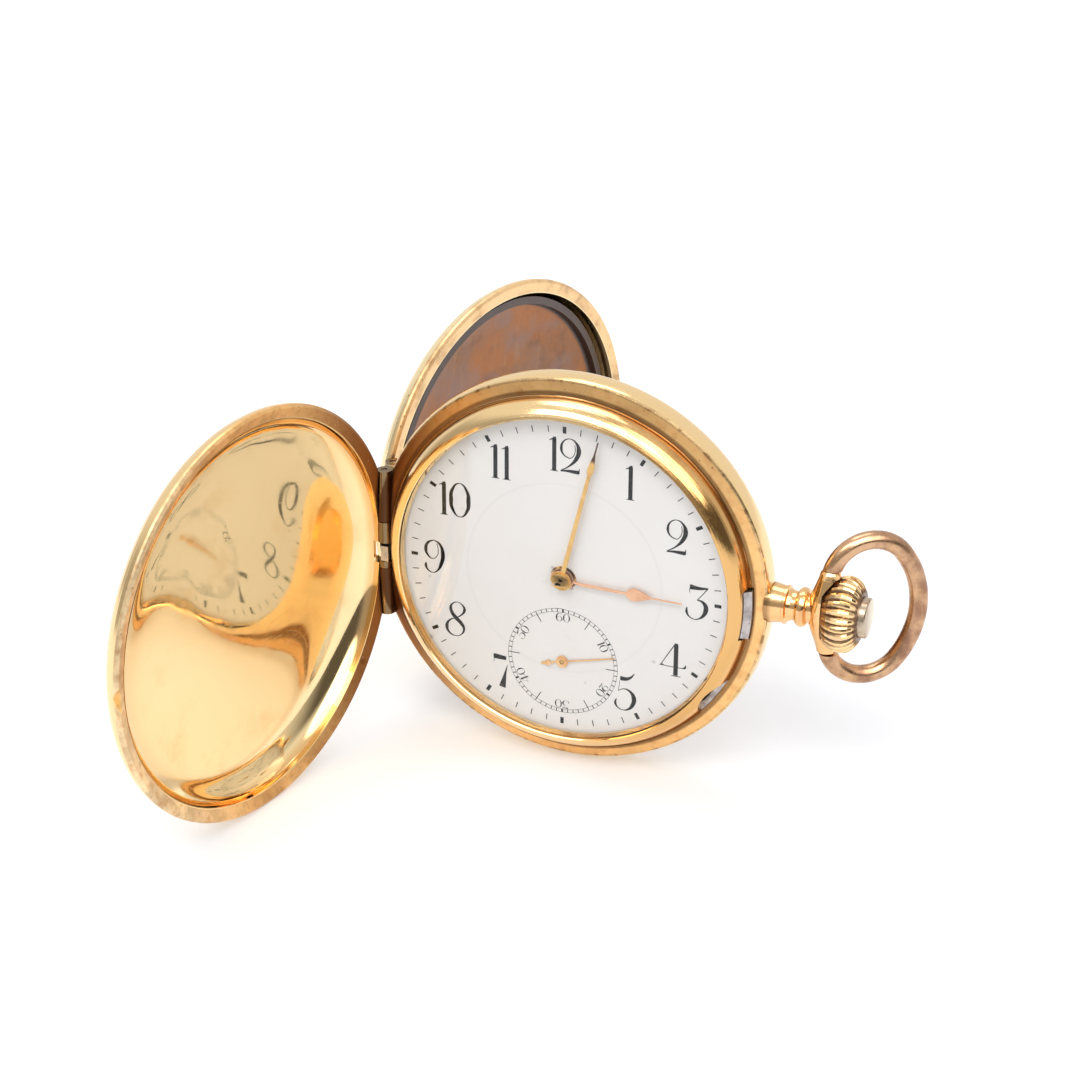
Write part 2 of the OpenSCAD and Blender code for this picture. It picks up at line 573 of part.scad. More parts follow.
// Lift spring: throws the front cover open, its tip bears beside the hinge at 9 o'clock
module lift_spring() color("silver") upright() difference() {
    union() {
        slab([0, 0], front_z - 0.35, front_z - 1.7)
            arc(channel_in_r + 0.2, channel_in_r + 0.75, lift_end_a - 2, 185.2);
        slab([0, 0], front_z - 1.7, front_z - 0.35)
            arc(channel_in_r + 0.1, channel_out_r - 0.1, lift_end_a - 2, lift_end_a + 4);
        lift_block([-riser_x - 0.35, -channel_in_r - 0.4], [front_z - 0.85, front_z - 0.35]);
        lift_block([-riser_x - 0.35, -riser_x], [front_z - 0.85, lift_top]);
        lift_block([-hinge_x - 0.2, -riser_x], [front_axis_z + hinge_pin_r + 0.15, lift_top]);
    }
    post(polar(channel_in_r + 0.45, lift_end_a + 1), 0, -9, 0.27);
}
riser_x = bezel_r + 0.07;
lift_top = front_z + 1.25;
module lift_block(x, z) translate([x[0], lift_tip_y[0], z[0]])
    cube([x[1] - x[0], lift_tip_y[1] - lift_tip_y[0], z[1] - z[0]]);
module spring_screws() color("slategray") upright() {
    for (a = [lock_end_a + 1, lift_end_a + 1])
        post(polar(channel_in_r + 0.45, a), front_z - 2.5, front_z - 0.3, 0.25);
    for (a = [lock_end_a + 1, lift_end_a + 1])
        post(polar(channel_in_r + 0.45, a), front_z - 0.34, bezel_foot_z - 0.05, 0.42);
}

// Screws that clamp the movement's flange in the case
screw_angles = [62, 242];
case_screw_r = 0.55;
module case_screws() color("slategray") upright() for (a = screw_angles) rotate(a)
    post([neck_in_r - 0.5, 0], front_z - 1.8, -dial_t - 0.05, case_screw_r - 0.05);

// Dial: white enamel on copper, pierced for the hands
hand_hole_r = 1.7;
module dial() color("white") upright() difference() {
    rotate_extrude() polygon([[0, dial_back], [dial_r - 0.1, dial_back], [dial_r, dial_back + 0.25],
        [dial_r, -0.2], [dial_r - 0.08, -0.06], [dial_r - 0.3, 0], [0, 0]]);
    post(centre_at, -2, 1, hand_hole_r);
    post(fourth_at, -2, 1, 0.5);
}

// Hands: slender, each with a bulge, on round bosses pushed on their pipes
hour_z = 0.42;
minute_z = 0.9;
second_z = 0.1;
hand_t = 0.2;
minute_a = 90 - 6 * shown_minutes;
hour_a = 90 - 30 * (3 + shown_minutes / 60);
second_a = 90 - 6 * 12.6;
cap_hole_r = 0.25;
hour_pipe_r = 1.2;
cannon_r = 0.72;
module hand_blade(l, root, bulge_x, bulge_w, bulge_l, tip) {
    side = concat([[0, root]],
        [for (i = [0:12]) let (t = i / 12) [bulge_x + t * bulge_l, root * 0.75 * (1 - t) + tip * 1.3 * t
            + bulge_w * pow(sin(180 * pow(t, 0.6)), 1.25)]],
        [[l, tip]]);
    polygon(concat(side, [for (i = [len(side) - 1:-1:0]) [side[i][0], -side[i][1]]]));
}
module hour_hand() color("rosybrown") upright() rotate(hour_a) difference() {
    union() {
        post([0, 0], hour_z, hour_z + hand_t, 1.5);
        slab([0, 0], hour_z, hour_z + hand_t)
            hand_blade(0.78 * track_r, 0.2, 0.418 * track_r, 0.68, 3.4, 0.06);
    }
    post([0, 0], hour_z - 1, hour_z + 1, hour_pipe_r);
}
module minute_hand() color("gold") upright() rotate(minute_a) {
    slab([0, 0], minute_z, minute_z + hand_t) difference() {
        union() {
            circle(1.36);
            hand_blade(track_r, 0.3, 0.77 * track_r, 0.22, 2.9, 0.07);
        }
        circle(cannon_r);
    }
    ring(minute_z + hand_t, minute_z + 0.42, cap_hole_r + running, 1.2);
}
module seconds_hand() color("rosybrown") upright() at(fourth_at, 0) rotate(second_a) {
    slab([0, 0], second_z, second_z + 0.14) difference() {
        union() {
            circle(0.8);
            hand_blade(0.36 * track_r, 0.1, 3, 0, 1, 0.06);
            rotate(180) hand_blade(2.9, 0.12, 1.6, 0.24, 0.9, 0.12);
        }
        circle(0.2);
    }
    ring(second_z + 0.14, second_z + 0.24, 0.2, 0.6);
}

// Motion work under the dial: cannon pinion, minute wheel and hour wheel
cannon_z = [-1.95, -1.5];
hour_wheel_z = [-1.35, -1.05];
module cannon_pinion() color("lightsteelblue") upright() {
    slab(centre_at, cannon_z[0], cannon_z[1]) difference() {
        wheel_blank(cannon_teeth, motion_m, towards(centre_at, minute_wheel_at));
        circle(centre_pivot_r);
    }
    ring(cannon_z[1], minute_z + hand_t, centre_pivot_r, cannon_r);
}
module hour_wheel() color("gold") upright() {
    slab(centre_at, hour_wheel_z[0], hour_wheel_z[1]) difference() {
        wheel_blank(hour_teeth, hour_m, towards(centre_at, minute_wheel_at) + 180 / hour_teeth);
        circle(cannon_r + running);
    }
    ring(hour_wheel_z[1], hour_z + hand_t, cannon_r + running, hour_pipe_r);
}
module minute_wheel() color("gold") upright() {
    slab(minute_wheel_at, cannon_z[0], cannon_z[1]) difference() {
        wheel_blank(minute_teeth, motion_m, towards(minute_wheel_at, centre_at) + 180 / minute_teeth);
        circle(0.4);
    }
    slab(minute_wheel_at, cannon_z[1], hour_wheel_z[1]) difference() {
        wheel_blank(minute_leaves, hour_m, towards(minute_wheel_at, centre_at));
        circle(0.4);
    }
}

// Main plate: turned brass, bored and sunk for the barrel, wheels and keyless work
module main_plate() color("khaki") upright() difference() {
    union() {
        post(centre_at, plate_z, dial_back, plate_r);
        post(centre_at, front_z, dial_back, flange_r);
        post(minute_wheel_at, cannon_z[0] - play - 0.2, hour_wheel_z[0] - 0.2, 0.4 - running);
    }
    difference() {
        union() {
            post(centre_at, cannon_z[0] - play, 0, 4.1);
            post(minute_wheel_at, cannon_z[0] - play, 0, 3.6);
        }
        post(minute_wheel_at, cannon_z[0] - 1, hour_wheel_z[1], 0.4 - running);
    }
    post(barrel_at, barrel_z[0] - 3, barrel_z[1] + 0.12, 9.6);
    post(barrel_at, -9, 0, barrel_pivot_r + running);
    post(centre_at, -9, 0, centre_pivot_r + running);
    for (p = [third_at, escape_at, pallet_at]) post(p, plate_z - 1, plate_z + 0.7, pivot_r + running);
    post(fourth_at, -9, 0, seconds_pivot_r + running);
    post(balance_at, plate_z - 1, plate_z + 0.9, pivot_r + running);
    keyless_room();
    stem_room();
    for (a = screw_angles) rotate(a) post([neck_in_r - 0.5, 0], -5, 1, case_screw_r);
    for (p = bridge_screw_at) post(p, plate_z - 1, plate_z + 1.2, 0.5);
}
barrel_pivot_r = 0.9;
centre_pivot_r = 0.42;
seconds_pivot_r = 0.2;
pivot_r = 0.16;
wind_x = [17.4, 18.9];
slide_x = [15.2, 17];
module keyless_room() {
    translate([slide_x[0] - 0.8, -2.25, stem_axis_z - 2.2]) cube([wind_x[1] - slide_x[0] + 1, 4.5, 4.2]);
    translate([slide_x[0] - 0.8, -7.3, plate_z - 1]) cube([3.4, 6, 2.15]);
}
module stem_room() along_stem() {
    translate([0, 0, wind_x[1] - 1]) cylinder(h = 9, r = stem_r + 0.1);
    translate([0, 0, stem_tip - 0.9]) cylinder(h = 4, r = 0.4 + running);
}

// Bridges: flat cocks screwed to the main plate over the barrel, train and balance
divide_y = -3.3;
balance_room = balance_r + 1.1;
screw_r = 0.9;
barrel_screw_at = [[-14.2, 11.2], [-3.6, 18.2], [18.2, 5.6]];
train_screw_at = [[15.2, -11], [6.2, -17.4], [-4.4, -15.6]];
cock_screw_at = [[-17.6, 3.2]];
pallet_screw_at = [[-11.8, -12.4]];
bridge_screw_at = concat(barrel_screw_at, train_screw_at, cock_screw_at, pallet_screw_at);
module barrel_bridge() color("gainsboro") upright() difference() {
    union() {
        slab([0, 0], top_z, bridge_z) barrel_bridge_shape();
        slab([0, 0], bridge_z, plate_z) difference() {
            barrel_bridge_shape();
            translate(barrel_at) circle(9.7);
            translate(third_at) circle(6.6);
            circle(7.9);
            translate([-8, divide_y - 1]) square([16, 8]);
            translate(click_at) circle(1);
        }
    }
    post(ratchet_at, top_z - 1, wheel_z[1] + play, ratchet_r + 0.25);
    post(crown_wheel_at, top_z - 1, wheel_z[1] + play, crown_wheel_r + 0.25);
    post(crown_wheel_at, top_z - 1, bridge_z + 2, 2.95);
    post(ratchet_at, -9, 0, barrel_pivot_r + running);
    post(centre_at, -9, -2, jewel_r);
    keyless_room();
    stem_room();
    click_room();
    for (p = barrel_screw_at) bridge_screw_hole(p);
}
ratchet_at = barrel_at;
ratchet_r = keyless_m * ratchet_teeth / 2 + 0.85 * keyless_m;
crown_wheel_r = keyless_m * crown_teeth / 2 + 0.85 * keyless_m;
wheel_z = [top_z - 0.02, top_z + 0.55];
module barrel_bridge_shape() difference() {
    circle(plate_r - 0.3);
    translate([-30, -60 + divide_y]) square([60, 60]);
    translate(balance_at) circle(balance_room + 0.3);
    translate([-30, -10]) square([18.7, 18.6]);
}
module bridge_screw_hole(p) {
    post(p, top_z - 1, top_z + 0.6, screw_r + play);
    post(p, -9, 0, screw_r * 0.5 + 0.02);
}
module click_room() for (p = [click_at, click_foot_at]) post(p, -9, 0, 0.3);
module train_bridge() color("gainsboro") upright() difference() {
    union() {
        slab([0, 0], top_z, bridge_z) train_bridge_shape();
        slab([0, 0], bridge_z, plate_z) intersection() {
            train_bridge_shape();
            difference() {
                circle(plate_r);
                translate(third_at) circle(6.6);
                translate(fourth_at) circle(5.3);
                translate(escape_at) circle(3.9);
                circle(7.9);
                translate([-20, -9]) square([16, 20]);
            }
        }
    }
    for (p = [third_at, fourth_at, escape_at]) post(p, -9, -2, jewel_r);
    for (p = train_screw_at) bridge_screw_hole(p);
    post(crown_wheel_at, top_z - 1, wheel_z[1] + play, crown_wheel_r + 0.25);
    keyless_room();
}
module train_bridge_shape() difference() {
    circle(plate_r - 0.3);
    translate([-30, divide_y - 0.25]) square([60, 60]);
    translate(balance_at) circle(balance_room);
    translate([-30, -30]) square([22.5, 40]);
}
cock_z = [top_z - 0.35, top_z + 0.35];
module balance_cock() color("gainsboro") upright() difference() {
    union() {
        slab([0, 0], cock_z[0], cock_z[1]) cock_shape();
        slab([0, 0], cock_z[1], plate_z) intersection() {
            cock_shape();
            difference() {
                circle(plate_r - 0.4);
                translate(balance_at) circle(balance_room);
            }
        }
    }
    post(balance_at, -12, -2, jewel_r);
    for (p = cock_screw_at) {
        post(p, cock_z[0] - 1, cock_z[0] + 0.6, screw_r + play);
        post(p, -12, 0, screw_r * 0.5 + 0.02);
    }
    post(stud_at, -12, -2, 0.3);
}
module cock_shape() intersection() {
    circle(plate_r - 0.4);
    union() {
        translate(balance_at) circle(2.3);
        polygon([balance_at + [-0.6, -2.1], balance_at + [1.6, 1.5], [-13.6, 5.6], [-20, 9], [-24, 0],
            [-17.6, -0.6]]);
    }
}
// Small cock over the pallet fork, below the balance
module pallet_bridge() color("gainsboro") upright() difference() {
    union() {
        slab([0, 0], pallet_top, pallet_top + 0.35) pallet_bridge_shape();
        slab([0, 0], pallet_top + 0.35, plate_z) intersection() {
            pallet_bridge_shape();
            translate(pallet_screw_at[0]) circle(2.2);
        }
    }
    post(pallet_at, -9, -2, jewel_r * 0.6);
    post(pallet_screw_at[0], -9, 0, 0.42);
}
pallet_top = bridge_z + 0.1;
module pallet_bridge_shape() {
    translate(pallet_at) circle(1.1);
    translate(pallet_screw_at[0]) circle(1.5);
    polygon([pallet_at + [-0.9, 0.6], pallet_at + [0.9, -0.6], pallet_screw_at[0] + [1.3, -0.7],
        pallet_screw_at[0] + [-1.3, 0.7]]);
}
module bridge_screws() color("steelblue") upright() {
    for (p = concat(barrel_screw_at, train_screw_at)) screw(p, top_z + 0.02, screw_r, 0.55, 3.6);
    for (p = cock_screw_at) screw(p, cock_z[0] + 0.02, screw_r, 0.55, 4);
    for (p = pallet_screw_at) screw(p, pallet_top - 0.35, 0.75, 0.35, 2.3);
}
// Ruby bearings in the bridges, each bored for its pivot
module jewels() color("crimson") upright() {
    for (p = [third_at, fourth_at, escape_at]) jewel(p, top_z + 0.12, bridge_z - 0.3, jewel_r, pivot_r);
    jewel(centre_at, top_z + 0.12, bridge_z - 0.3, jewel_r, pivot_r);
    jewel(balance_at, cock_z[0] + 0.1, cock_z[1] - 0.1, jewel_r, pivot_r);
    jewel(pallet_at, pallet_top, pallet_top + 0.35, jewel_r * 0.6, pivot_r);
}
module jewel(p, z0, z1, r, hole) slab(p, z0, z1) difference() {
    circle(r);
    circle(hole + running);
}

// Barrel: toothed drum round the mainspring, on the arbor that carries the ratchet wheel
barrel_z = [-4.7, -2];
drum_r = 8.5;
module barrel() color("khaki") upright() {
    slab(barrel_at, barrel_z[0], barrel_z[0] + 0.45) difference() {
        wheel_blank(barrel_teeth, barrel_m, towards(barrel_at, centre_at));
        circle(barrel_hub_r + running);
    }
    at(barrel_at, 0) ring(barrel_z[0] + 0.45, barrel_z[1] - 0.35, drum_r - 0.5, drum_r);
    at(barrel_at, 0) ring(barrel_z[1] - 0.35, barrel_z[1], barrel_pivot_r + running, drum_r);
}
barrel_hub_r = 2;
spring_in = barrel_hub_r + 0.35;
spring_out = drum_r - 0.62;
spring_turns = 8;
spring_w = 0.16;
echo(mainspring_least_gap = least_gap(spring_in, spring_out, spring_turns, spring_w));
module mainspring() color("steelblue") upright() slab(barrel_at, barrel_z[0] + 0.55, barrel_z[1] - 0.45)
    polygon(spiral(spring_in, spring_out, spring_turns, spring_w));
// Ratchet wheel, in one with the barrel arbor that winds the mainspring
module ratchet_wheel() color("silver") upright() {
    slab(ratchet_at, wheel_z[0], wheel_z[1])
        wheel_blank(ratchet_teeth, keyless_m, towards(ratchet_at, crown_wheel_at) + 180 / ratchet_teeth);
    post(ratchet_at, wheel_z[1], barrel_z[0] - 0.12, barrel_pivot_r);
    post(ratchet_at, barrel_z[0] - 0.12, barrel_z[1] - 0.4, barrel_hub_r);
    post(ratchet_at, barrel_z[1] - 0.4, dial_back - 0.2, barrel_pivot_r);
}
module crown_wheel() color("silver") upright() {
    slab(crown_wheel_at, wheel_z[0], wheel_z[1]) difference() {
        wheel_blank(crown_teeth, keyless_m, towards(crown_wheel_at, ratchet_at));
        circle(1);
    }
    at(crown_wheel_at, 0) ring(wheel_z[1], stem_axis_z - 2.1, 1, 2.85);
}
module winding_wheel_screws() color("steelblue") upright() {
    post(crown_wheel_at, stem_axis_z - 2.1, wheel_z[0], 0.95);
    for (p = [crown_wheel_at, ratchet_at]) difference() {
        post(p, wheel_z[0] - 0.35, wheel_z[0], 1.7);
        at(p, wheel_z[0] - 0.4) translate([-3, -0.22, 0]) cube([6, 0.44, 0.2]);
    }
    screw(click_foot_at, top_z - 0.6, 0.56, 0.3, 1.4);
}
// Click: the pawl that holds the ratchet wheel, and its wire spring
click_nose = ratchet_at + polar(ratchet_r + 0.06, towards(ratchet_at, click_at) + 13);
module click() color("silver") upright() {
    slab([0, 0], top_z - 0.42, top_z - 0.03) {
        translate(click_at) circle(1.15);
        polygon([click_at + [-0.9, -0.7], click_nose + [-0.45, 0.75], click_nose + [-0.1, 0.04],
            click_nose + [0.5, 0.55], click_at + [1.1, 0.4]]);
    }
    post(click_at, top_z - 0.03, top_z + 1, 0.28);
}
module click_spring() color("steelblue") upright() difference() {
    union() {
        post(click_foot_at, top_z - 0.3, top_z, 0.9);
        slab(click_at, top_z - 0.25, top_z)
            polygon([[-4.2, -0.95], [-4.2, -0.25], [-1.25, -0.28], [-1.25, -0.5]]);
    }
    post(click_foot_at, -9, 0, 0.3);
}
click_foot_at = click_at + [-4.7, -0.6];

// Winding pinion and sliding pinion on the stem, and the lever that shifts them to set
module on_stem(x) along_stem() translate([0, 0, x]) children();
module winding_pinion() color("silver") upright() on_stem(wind_x[0]) difference() {
    linear_extrude(wind_x[1] - wind_x[0]) rotate(10) polygon(teeth(18, 0.2));
    translate([0, 0, -1]) cylinder(h = 5, r = stem_in_r + running);
}
module sliding_pinion() color("silver") upright() on_stem(slide_x[0]) difference() {
    union() {
        linear_extrude(0.5) polygon(teeth(14, 0.2));
        cylinder(h = slide_x[1] - slide_x[0], r = 1.1);
        translate([0, 0, 1.2]) linear_extrude(slide_x[1] - slide_x[0] - 1.2) polygon(teeth(14, 0.2));
    }
    translate([-0.5 - running, -0.5 - running, -1]) cube([1 + 2 * running, 1 + 2 * running, 5]);
}
lever_at = [slide_x[0] + 0.85, -6.2];
module setting_lever() color("silver") upright() difference() {
    union() {
        slab(lever_at, stem_axis_z + 0.15, stem_axis_z + 0.75) circle(0.9);
        slab([0, 0], stem_axis_z + 0.15, stem_axis_z + 0.75)
            polygon([lever_at + [-0.5, 0.5], [lever_at[0] - 0.2, -1.3], [lever_at[0] + 0.2, -1.3],
                lever_at + [0.5, 0.5]]);
    }
    post(lever_at, -9, 0, 0.3);
}

// Going train, each wheel on its own arbor between the plate and a bridge
centre_wheel_z = [-5.42, -5.22];
third_wheel_z = [-5.02, -4.82];
fourth_wheel_z = [-4.4, -4.2];
escape_wheel_z = [-4.9, -4.7];
module centre_wheel() color("gold") upright() {
    slab(centre_at, centre_wheel_z[0], centre_wheel_z[1])
        crossed_wheel(centre_teeth, centre_m, towards(centre_at, third_at), 5, 1, 1.3);
    slab(centre_at, barrel_z[0] - 0.15, barrel_z[0] + 0.8) difference() {
        wheel_blank(centre_leaves, barrel_m, towards(centre_at, barrel_at) + 180 / centre_leaves);
        circle(centre_pivot_r);
    }
    ring(centre_wheel_z[0], barrel_z[0] - 0.15, centre_pivot_r, 0.65);
    post(centre_at, centre_wheel_z[0], minute_z + hand_t - 0.01, centre_pivot_r);
    post(centre_at, minute_z, minute_z + 0.36, cap_hole_r);
    post(centre_at, top_z + 0.2, centre_wheel_z[0], pivot_r);
}
module third_wheel() color("gold") upright() {
    slab(third_at, third_wheel_z[0], third_wheel_z[1])
        crossed_wheel(third_teeth, third_m, towards(third_at, fourth_at), 5, 0.8, 0.9);
    slab(third_at, centre_wheel_z[0] - 0.08, third_wheel_z[0] - 0.05)
        wheel_blank(third_leaves, centre_m, towards(third_at, centre_at) + 180 / third_leaves);
    post(third_at, centre_wheel_z[0] - 0.08, plate_z - 0.1, 0.45);
    post(third_at, top_z + 0.2, plate_z + 0.6, pivot_r);
}
module fourth_wheel() color("gold") upright() {
    slab(fourth_at, fourth_wheel_z[0], fourth_wheel_z[1])
        crossed_wheel(fourth_teeth, fourth_m, towards(fourth_at, escape_at), 5, 0.7, 0.8);
    slab(fourth_at, third_wheel_z[0] - 0.1, third_wheel_z[1] + 0.1)
        wheel_blank(fourth_leaves, third_m, towards(fourth_at, third_at) + 180 / fourth_leaves);
    post(fourth_at, third_wheel_z[0] - 0.1, plate_z - 0.1, 0.4);
    post(fourth_at, plate_z - 0.1, second_z + 0.2, seconds_pivot_r);
    post(fourth_at, top_z + 0.2, third_wheel_z[0], pivot_r);
}
escape_r = 3.2;
module escape_wheel() color("silver") upright() {
    slab(escape_at, escape_wheel_z[0], escape_wheel_z[1]) {
        difference() {
            polygon([for (i = [0:14], k = [0:3]) polar([2.2, escape_r - 0.25, escape_r, 2.25][k],
                24 * i + [0, 7, 10, 9][k])]);
            circle(1.9);
        }
        circle(0.7);
        for (i = [0:3]) rotate(90 * i) translate([0.5, -0.2]) square([1.6, 0.4]);
    }
    slab(escape_at, fourth_wheel_z[0] - 0.1, fourth_wheel_z[1] + 0.1)
        wheel_blank(escape_leaves, fourth_m, towards(escape_at, fourth_at) + 180 / escape_leaves);
    post(escape_at, escape_wheel_z[0], plate_z - 0.1, 0.3);
    post(escape_at, top_z + 0.2, plate_z + 0.6, pivot_r);
}
// Pallet fork: the lever between the escape wheel and the balance, with its two pallets
fork_z = escape_wheel_z;
module pallet_fork() color("silver") upright() {
    slab([0, 0], fork_z[0], fork_z[1]) {
        for (s = [-1, 1]) translate(escape_at) rotate(towards(escape_at, pallet_at) + s * 40)
            translate([escape_r + 0.25, -0.17]) square([0.6, 0.34]);
        translate(pallet_at) {
            circle(0.55);
            for (s = [-1, 1]) rotate(towards(pallet_at, escape_at) + s * 76)
                translate([0, -0.2]) square([2.7, 0.4]);
            rotate(towards(pallet_at, balance_at)) {
                translate([0.3, -0.2]) square([2.1, 0.4]);
                polygon([[2.2, -0.2], [2.7, -0.5], [3.05, -0.55], [3.12, -0.3], [2.85, -0.22],
                    [2.85, 0.22], [3.12, 0.3], [3.05, 0.55], [2.7, 0.5], [2.2, 0.2]]);
            }
        }
    }
    post(pallet_at, pallet_top + 0.05, plate_z + 0.6, pivot_r);
}
// Balance: a screwed rim on three arms, with the staff, collet, roller and impulse pin
balance_z = [-6.2, -5.75];
module balance_wheel() color("gold") upright() {
    slab(balance_at, balance_z[0], balance_z[1]) {
        difference() {
            circle(balance_r);
            circle(balance_r - 0.7);
        }
        circle(0.8);
        for (i = [0:2]) rotate(120 * i + 20) translate([0.5, -0.25]) square([balance_r - 0.9, 0.5]);
    }
    for (i = [0:11]) at(balance_at, (balance_z[0] + balance_z[1]) / 2) rotate(30 * i + 15)
        rotate([0, 90, 0]) translate([0, 0, balance_r - 0.2]) cylinder(h = 0.5, r = 0.21);
    slab(balance_at, fork_z[0] - 0.4, fork_z[0] - 0.15) circle(1.25);
    at(balance_at, 0) rotate(towards(balance_at, pallet_at) + 50)
        post([0.95, 0], fork_z[0] - 0.2, fork_z[1], 0.14);
    post(balance_at, hair_z[1], balance_z[0], 0.6);
    post(balance_at, balance_z[1], plate_z - 0.2, 0.4);
    post(balance_at, cock_z[0] + 0.15, plate_z + 0.8, pivot_r);
}
// Hairspring: a flat spiral from the collet to the stud in the balance cock
hair_z = [-6.32, -6.55];
hair_pitch = 0.62;
hair_w = 0.14;
hair_in = 0.72;
hair_out = hair_in + hair_pitch * hair_turns;
stud_at = balance_at + polar(hair_out + 0.15, 180);
echo(hairspring_least_gap = least_gap(hair_in, hair_out, hair_turns, hair_w));
module hairspring() color("steelblue") upright() {
    slab(balance_at, hair_z[0], hair_z[1]) polygon(spiral(hair_in, hair_out, hair_turns, hair_w));
    post(stud_at, hair_z[0], cock_z[0] - 0.1, 0.28);
}
// Regulator: the index lever that turns round the balance cock's bearing
module regulator() color("silver") upright() slab(balance_at, cock_z[0] - 0.25, cock_z[0] - 0.03)
    difference() {
        union() {
            circle(1.5);
            rotate(150) translate([0, -0.2]) square([5.4, 0.4]);
            rotate(-30) translate([0, -0.3]) square([2.6, 0.6]);
        }
        circle(jewel_r + 0.15);
    }

case_middle();
pendant();
bow();
crown();
push_button();
push_collar();
winding_stem();
front_cover();
front_hinge_pin();
back_cover();
cuvette();
back_hinge_pin();
bezel();
crystal();
lock_spring();
lift_spring();
spring_screws();
case_screws();
dial();
hour_hand();
minute_hand();
seconds_hand();
cannon_pinion();
hour_wheel();
minute_wheel();
main_plate();
barrel_bridge();
train_bridge();
balance_cock();
pallet_bridge();
bridge_screws();
jewels();
barrel();
mainspring();
ratchet_wheel();
crown_wheel();
winding_wheel_screws();
click();
click_spring();
winding_pinion();
sliding_pinion();
setting_lever();
centre_wheel();
third_wheel();
fourth_wheel();
escape_wheel();
pallet_fork();
balance_wheel();
hairspring();
regulator();
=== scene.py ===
import math

import bmesh
import bpy
from mathutils import Euler, Matrix, Vector


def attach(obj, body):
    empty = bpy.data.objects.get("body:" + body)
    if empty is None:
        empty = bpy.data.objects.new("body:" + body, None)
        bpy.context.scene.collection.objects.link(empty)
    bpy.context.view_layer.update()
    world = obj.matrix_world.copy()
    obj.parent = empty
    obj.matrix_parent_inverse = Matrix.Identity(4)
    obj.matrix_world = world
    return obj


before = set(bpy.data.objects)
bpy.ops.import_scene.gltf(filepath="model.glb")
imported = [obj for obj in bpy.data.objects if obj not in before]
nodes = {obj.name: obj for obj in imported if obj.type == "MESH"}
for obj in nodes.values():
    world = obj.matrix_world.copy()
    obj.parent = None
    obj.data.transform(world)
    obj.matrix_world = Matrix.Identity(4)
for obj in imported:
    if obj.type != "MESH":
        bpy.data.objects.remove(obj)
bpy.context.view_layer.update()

# Case middle. A turned gold band that carries the movement and both hinges. Its outside is
# polished, and the flat seats on which the covers close are dull, with tarnish and specks of dirt,
# and painted shade in their inner corner by the bezel.
DIAL_HEIGHT = 26.0
FRONT_HINGE = (-24.8, 0, -1.6)
BACK_HINGE = (-24.8, 0, -4.3)
KNUCKLE_RADIUS = 1.0
POLISHED_GOLD = (250, 216, 160)
DULL_GOLD = (250, 200, 134)
BROWN_TARNISH = (128, 76, 38)
HINGE_DIRT = (74, 54, 40)
IN_MILLIMETRES = (1000, 1000, 1000)


def colour(red, green, blue):
    """A colour as it is seen on a screen, 0 to 255, as the linear values that a shader takes."""
    return [((c / 255 + 0.055) / 1.055) ** 2.4 for c in (red, green, blue)] + [1]


def feed(tree, socket, value):
    """Gives a socket its value, or links it where the value is another node's output."""
    if isinstance(value, bpy.types.NodeSocket):
        tree.links.new(value, socket)
    else:
        socket.default_value = value


def put(tree, kind, settings=None, **values):
    """One shader node, with its settings and its sockets' values. A name's _ stands for a space."""
    made = tree.nodes.new("ShaderNode" + kind)
    for name, value in (settings or {}).items():
        setattr(made, name, value)
    for name, value in values.items():
        feed(tree, made.inputs[name.replace("_", " ")], value)
    return made


def use(tree, group, **values):
    """The outputs of a node group."""
    return put(tree, "Group", {"node_tree": group}, **values).outputs


def calc(tree, operation, *values):
    """The result of one Math node."""
    made = put(tree, "Math", {"operation": operation})
    for socket, value in zip(made.inputs, values):
        feed(tree, socket, value)
    return made.outputs[0]


def times(tree, product, *others):
    """Two or more values multiplied."""
    for other in others:
        product = calc(tree, "MULTIPLY", product, other)
    return product


def distance(tree, across, up):
    """The length of a step across and up."""
    return calc(tree, "SQRT", calc(tree, "ADD", times(tree, across, across), times(tree, up, up)))


def rise(tree, value, low, high, start=0.0, end=1.0):
    """A smooth step from start at low to end at high."""
    return put(
        tree,
        "MapRange",
        {"interpolation_type": "SMOOTHSTEP"},
        Value=value,
        From_Min=low,
        From_Max=high,
        To_Min=start,
        To_Max=end,
    ).outputs[0]


def band(tree, value, low, high, soft):
    """1 between low and high, falling to 0 over soft on either side."""
    return times(
        tree,
        rise(tree, value, low - soft, low),
        rise(tree, value, high, high + soft, 1.0, 0.0),
    )


def mixed(tree, factor, first, second):
    """Two colours mixed. A Mix node's sockets share their names, so they go by their places."""
    made = put(tree, "Mix", {"data_type": "RGBA"})
    for place, value in ((0, factor), (6, first), (7, second)):
        feed(tree, made.inputs[place], value)
    return made.outputs[2]


def new_group(name, inputs, outputs):
    """A shader node group with its ends. Inputs are named and come with their usual values."""
    tree = bpy.data.node_groups.new(name, "ShaderNodeTree")
    for label, value in inputs.items():
        kind = "NodeSocketVector" if value is None else "NodeSocketFloat"
        socket = tree.interface.new_socket(label, in_out="INPUT", socket_type=kind)
        if value is not None:
            socket.default_value = value
    for label in outputs:
        tree.interface.new_socket(label, in_out="OUTPUT", socket_type="NodeSocketFloat")
    return tree, tree.nodes.new("NodeGroupInput").outputs, tree.nodes.new("NodeGroupOutput").inputs


# round_place: where a point lies on a round piece, in millimetres from its middle and dial face
round_place, given, gives = new_group(
    "round_place", {"Vector": None}, ["Radius", "Height", "East", "North"]
)
east, north, above = put(round_place, "SeparateXYZ", Vector=given["Vector"]).outputs
round_place.links.new(distance(round_place, east, north), gives["Radius"])
round_place.links.new(above, gives["Height"])
round_place.links.new(east, gives["East"])
round_place.links.new(north, gives["North"])

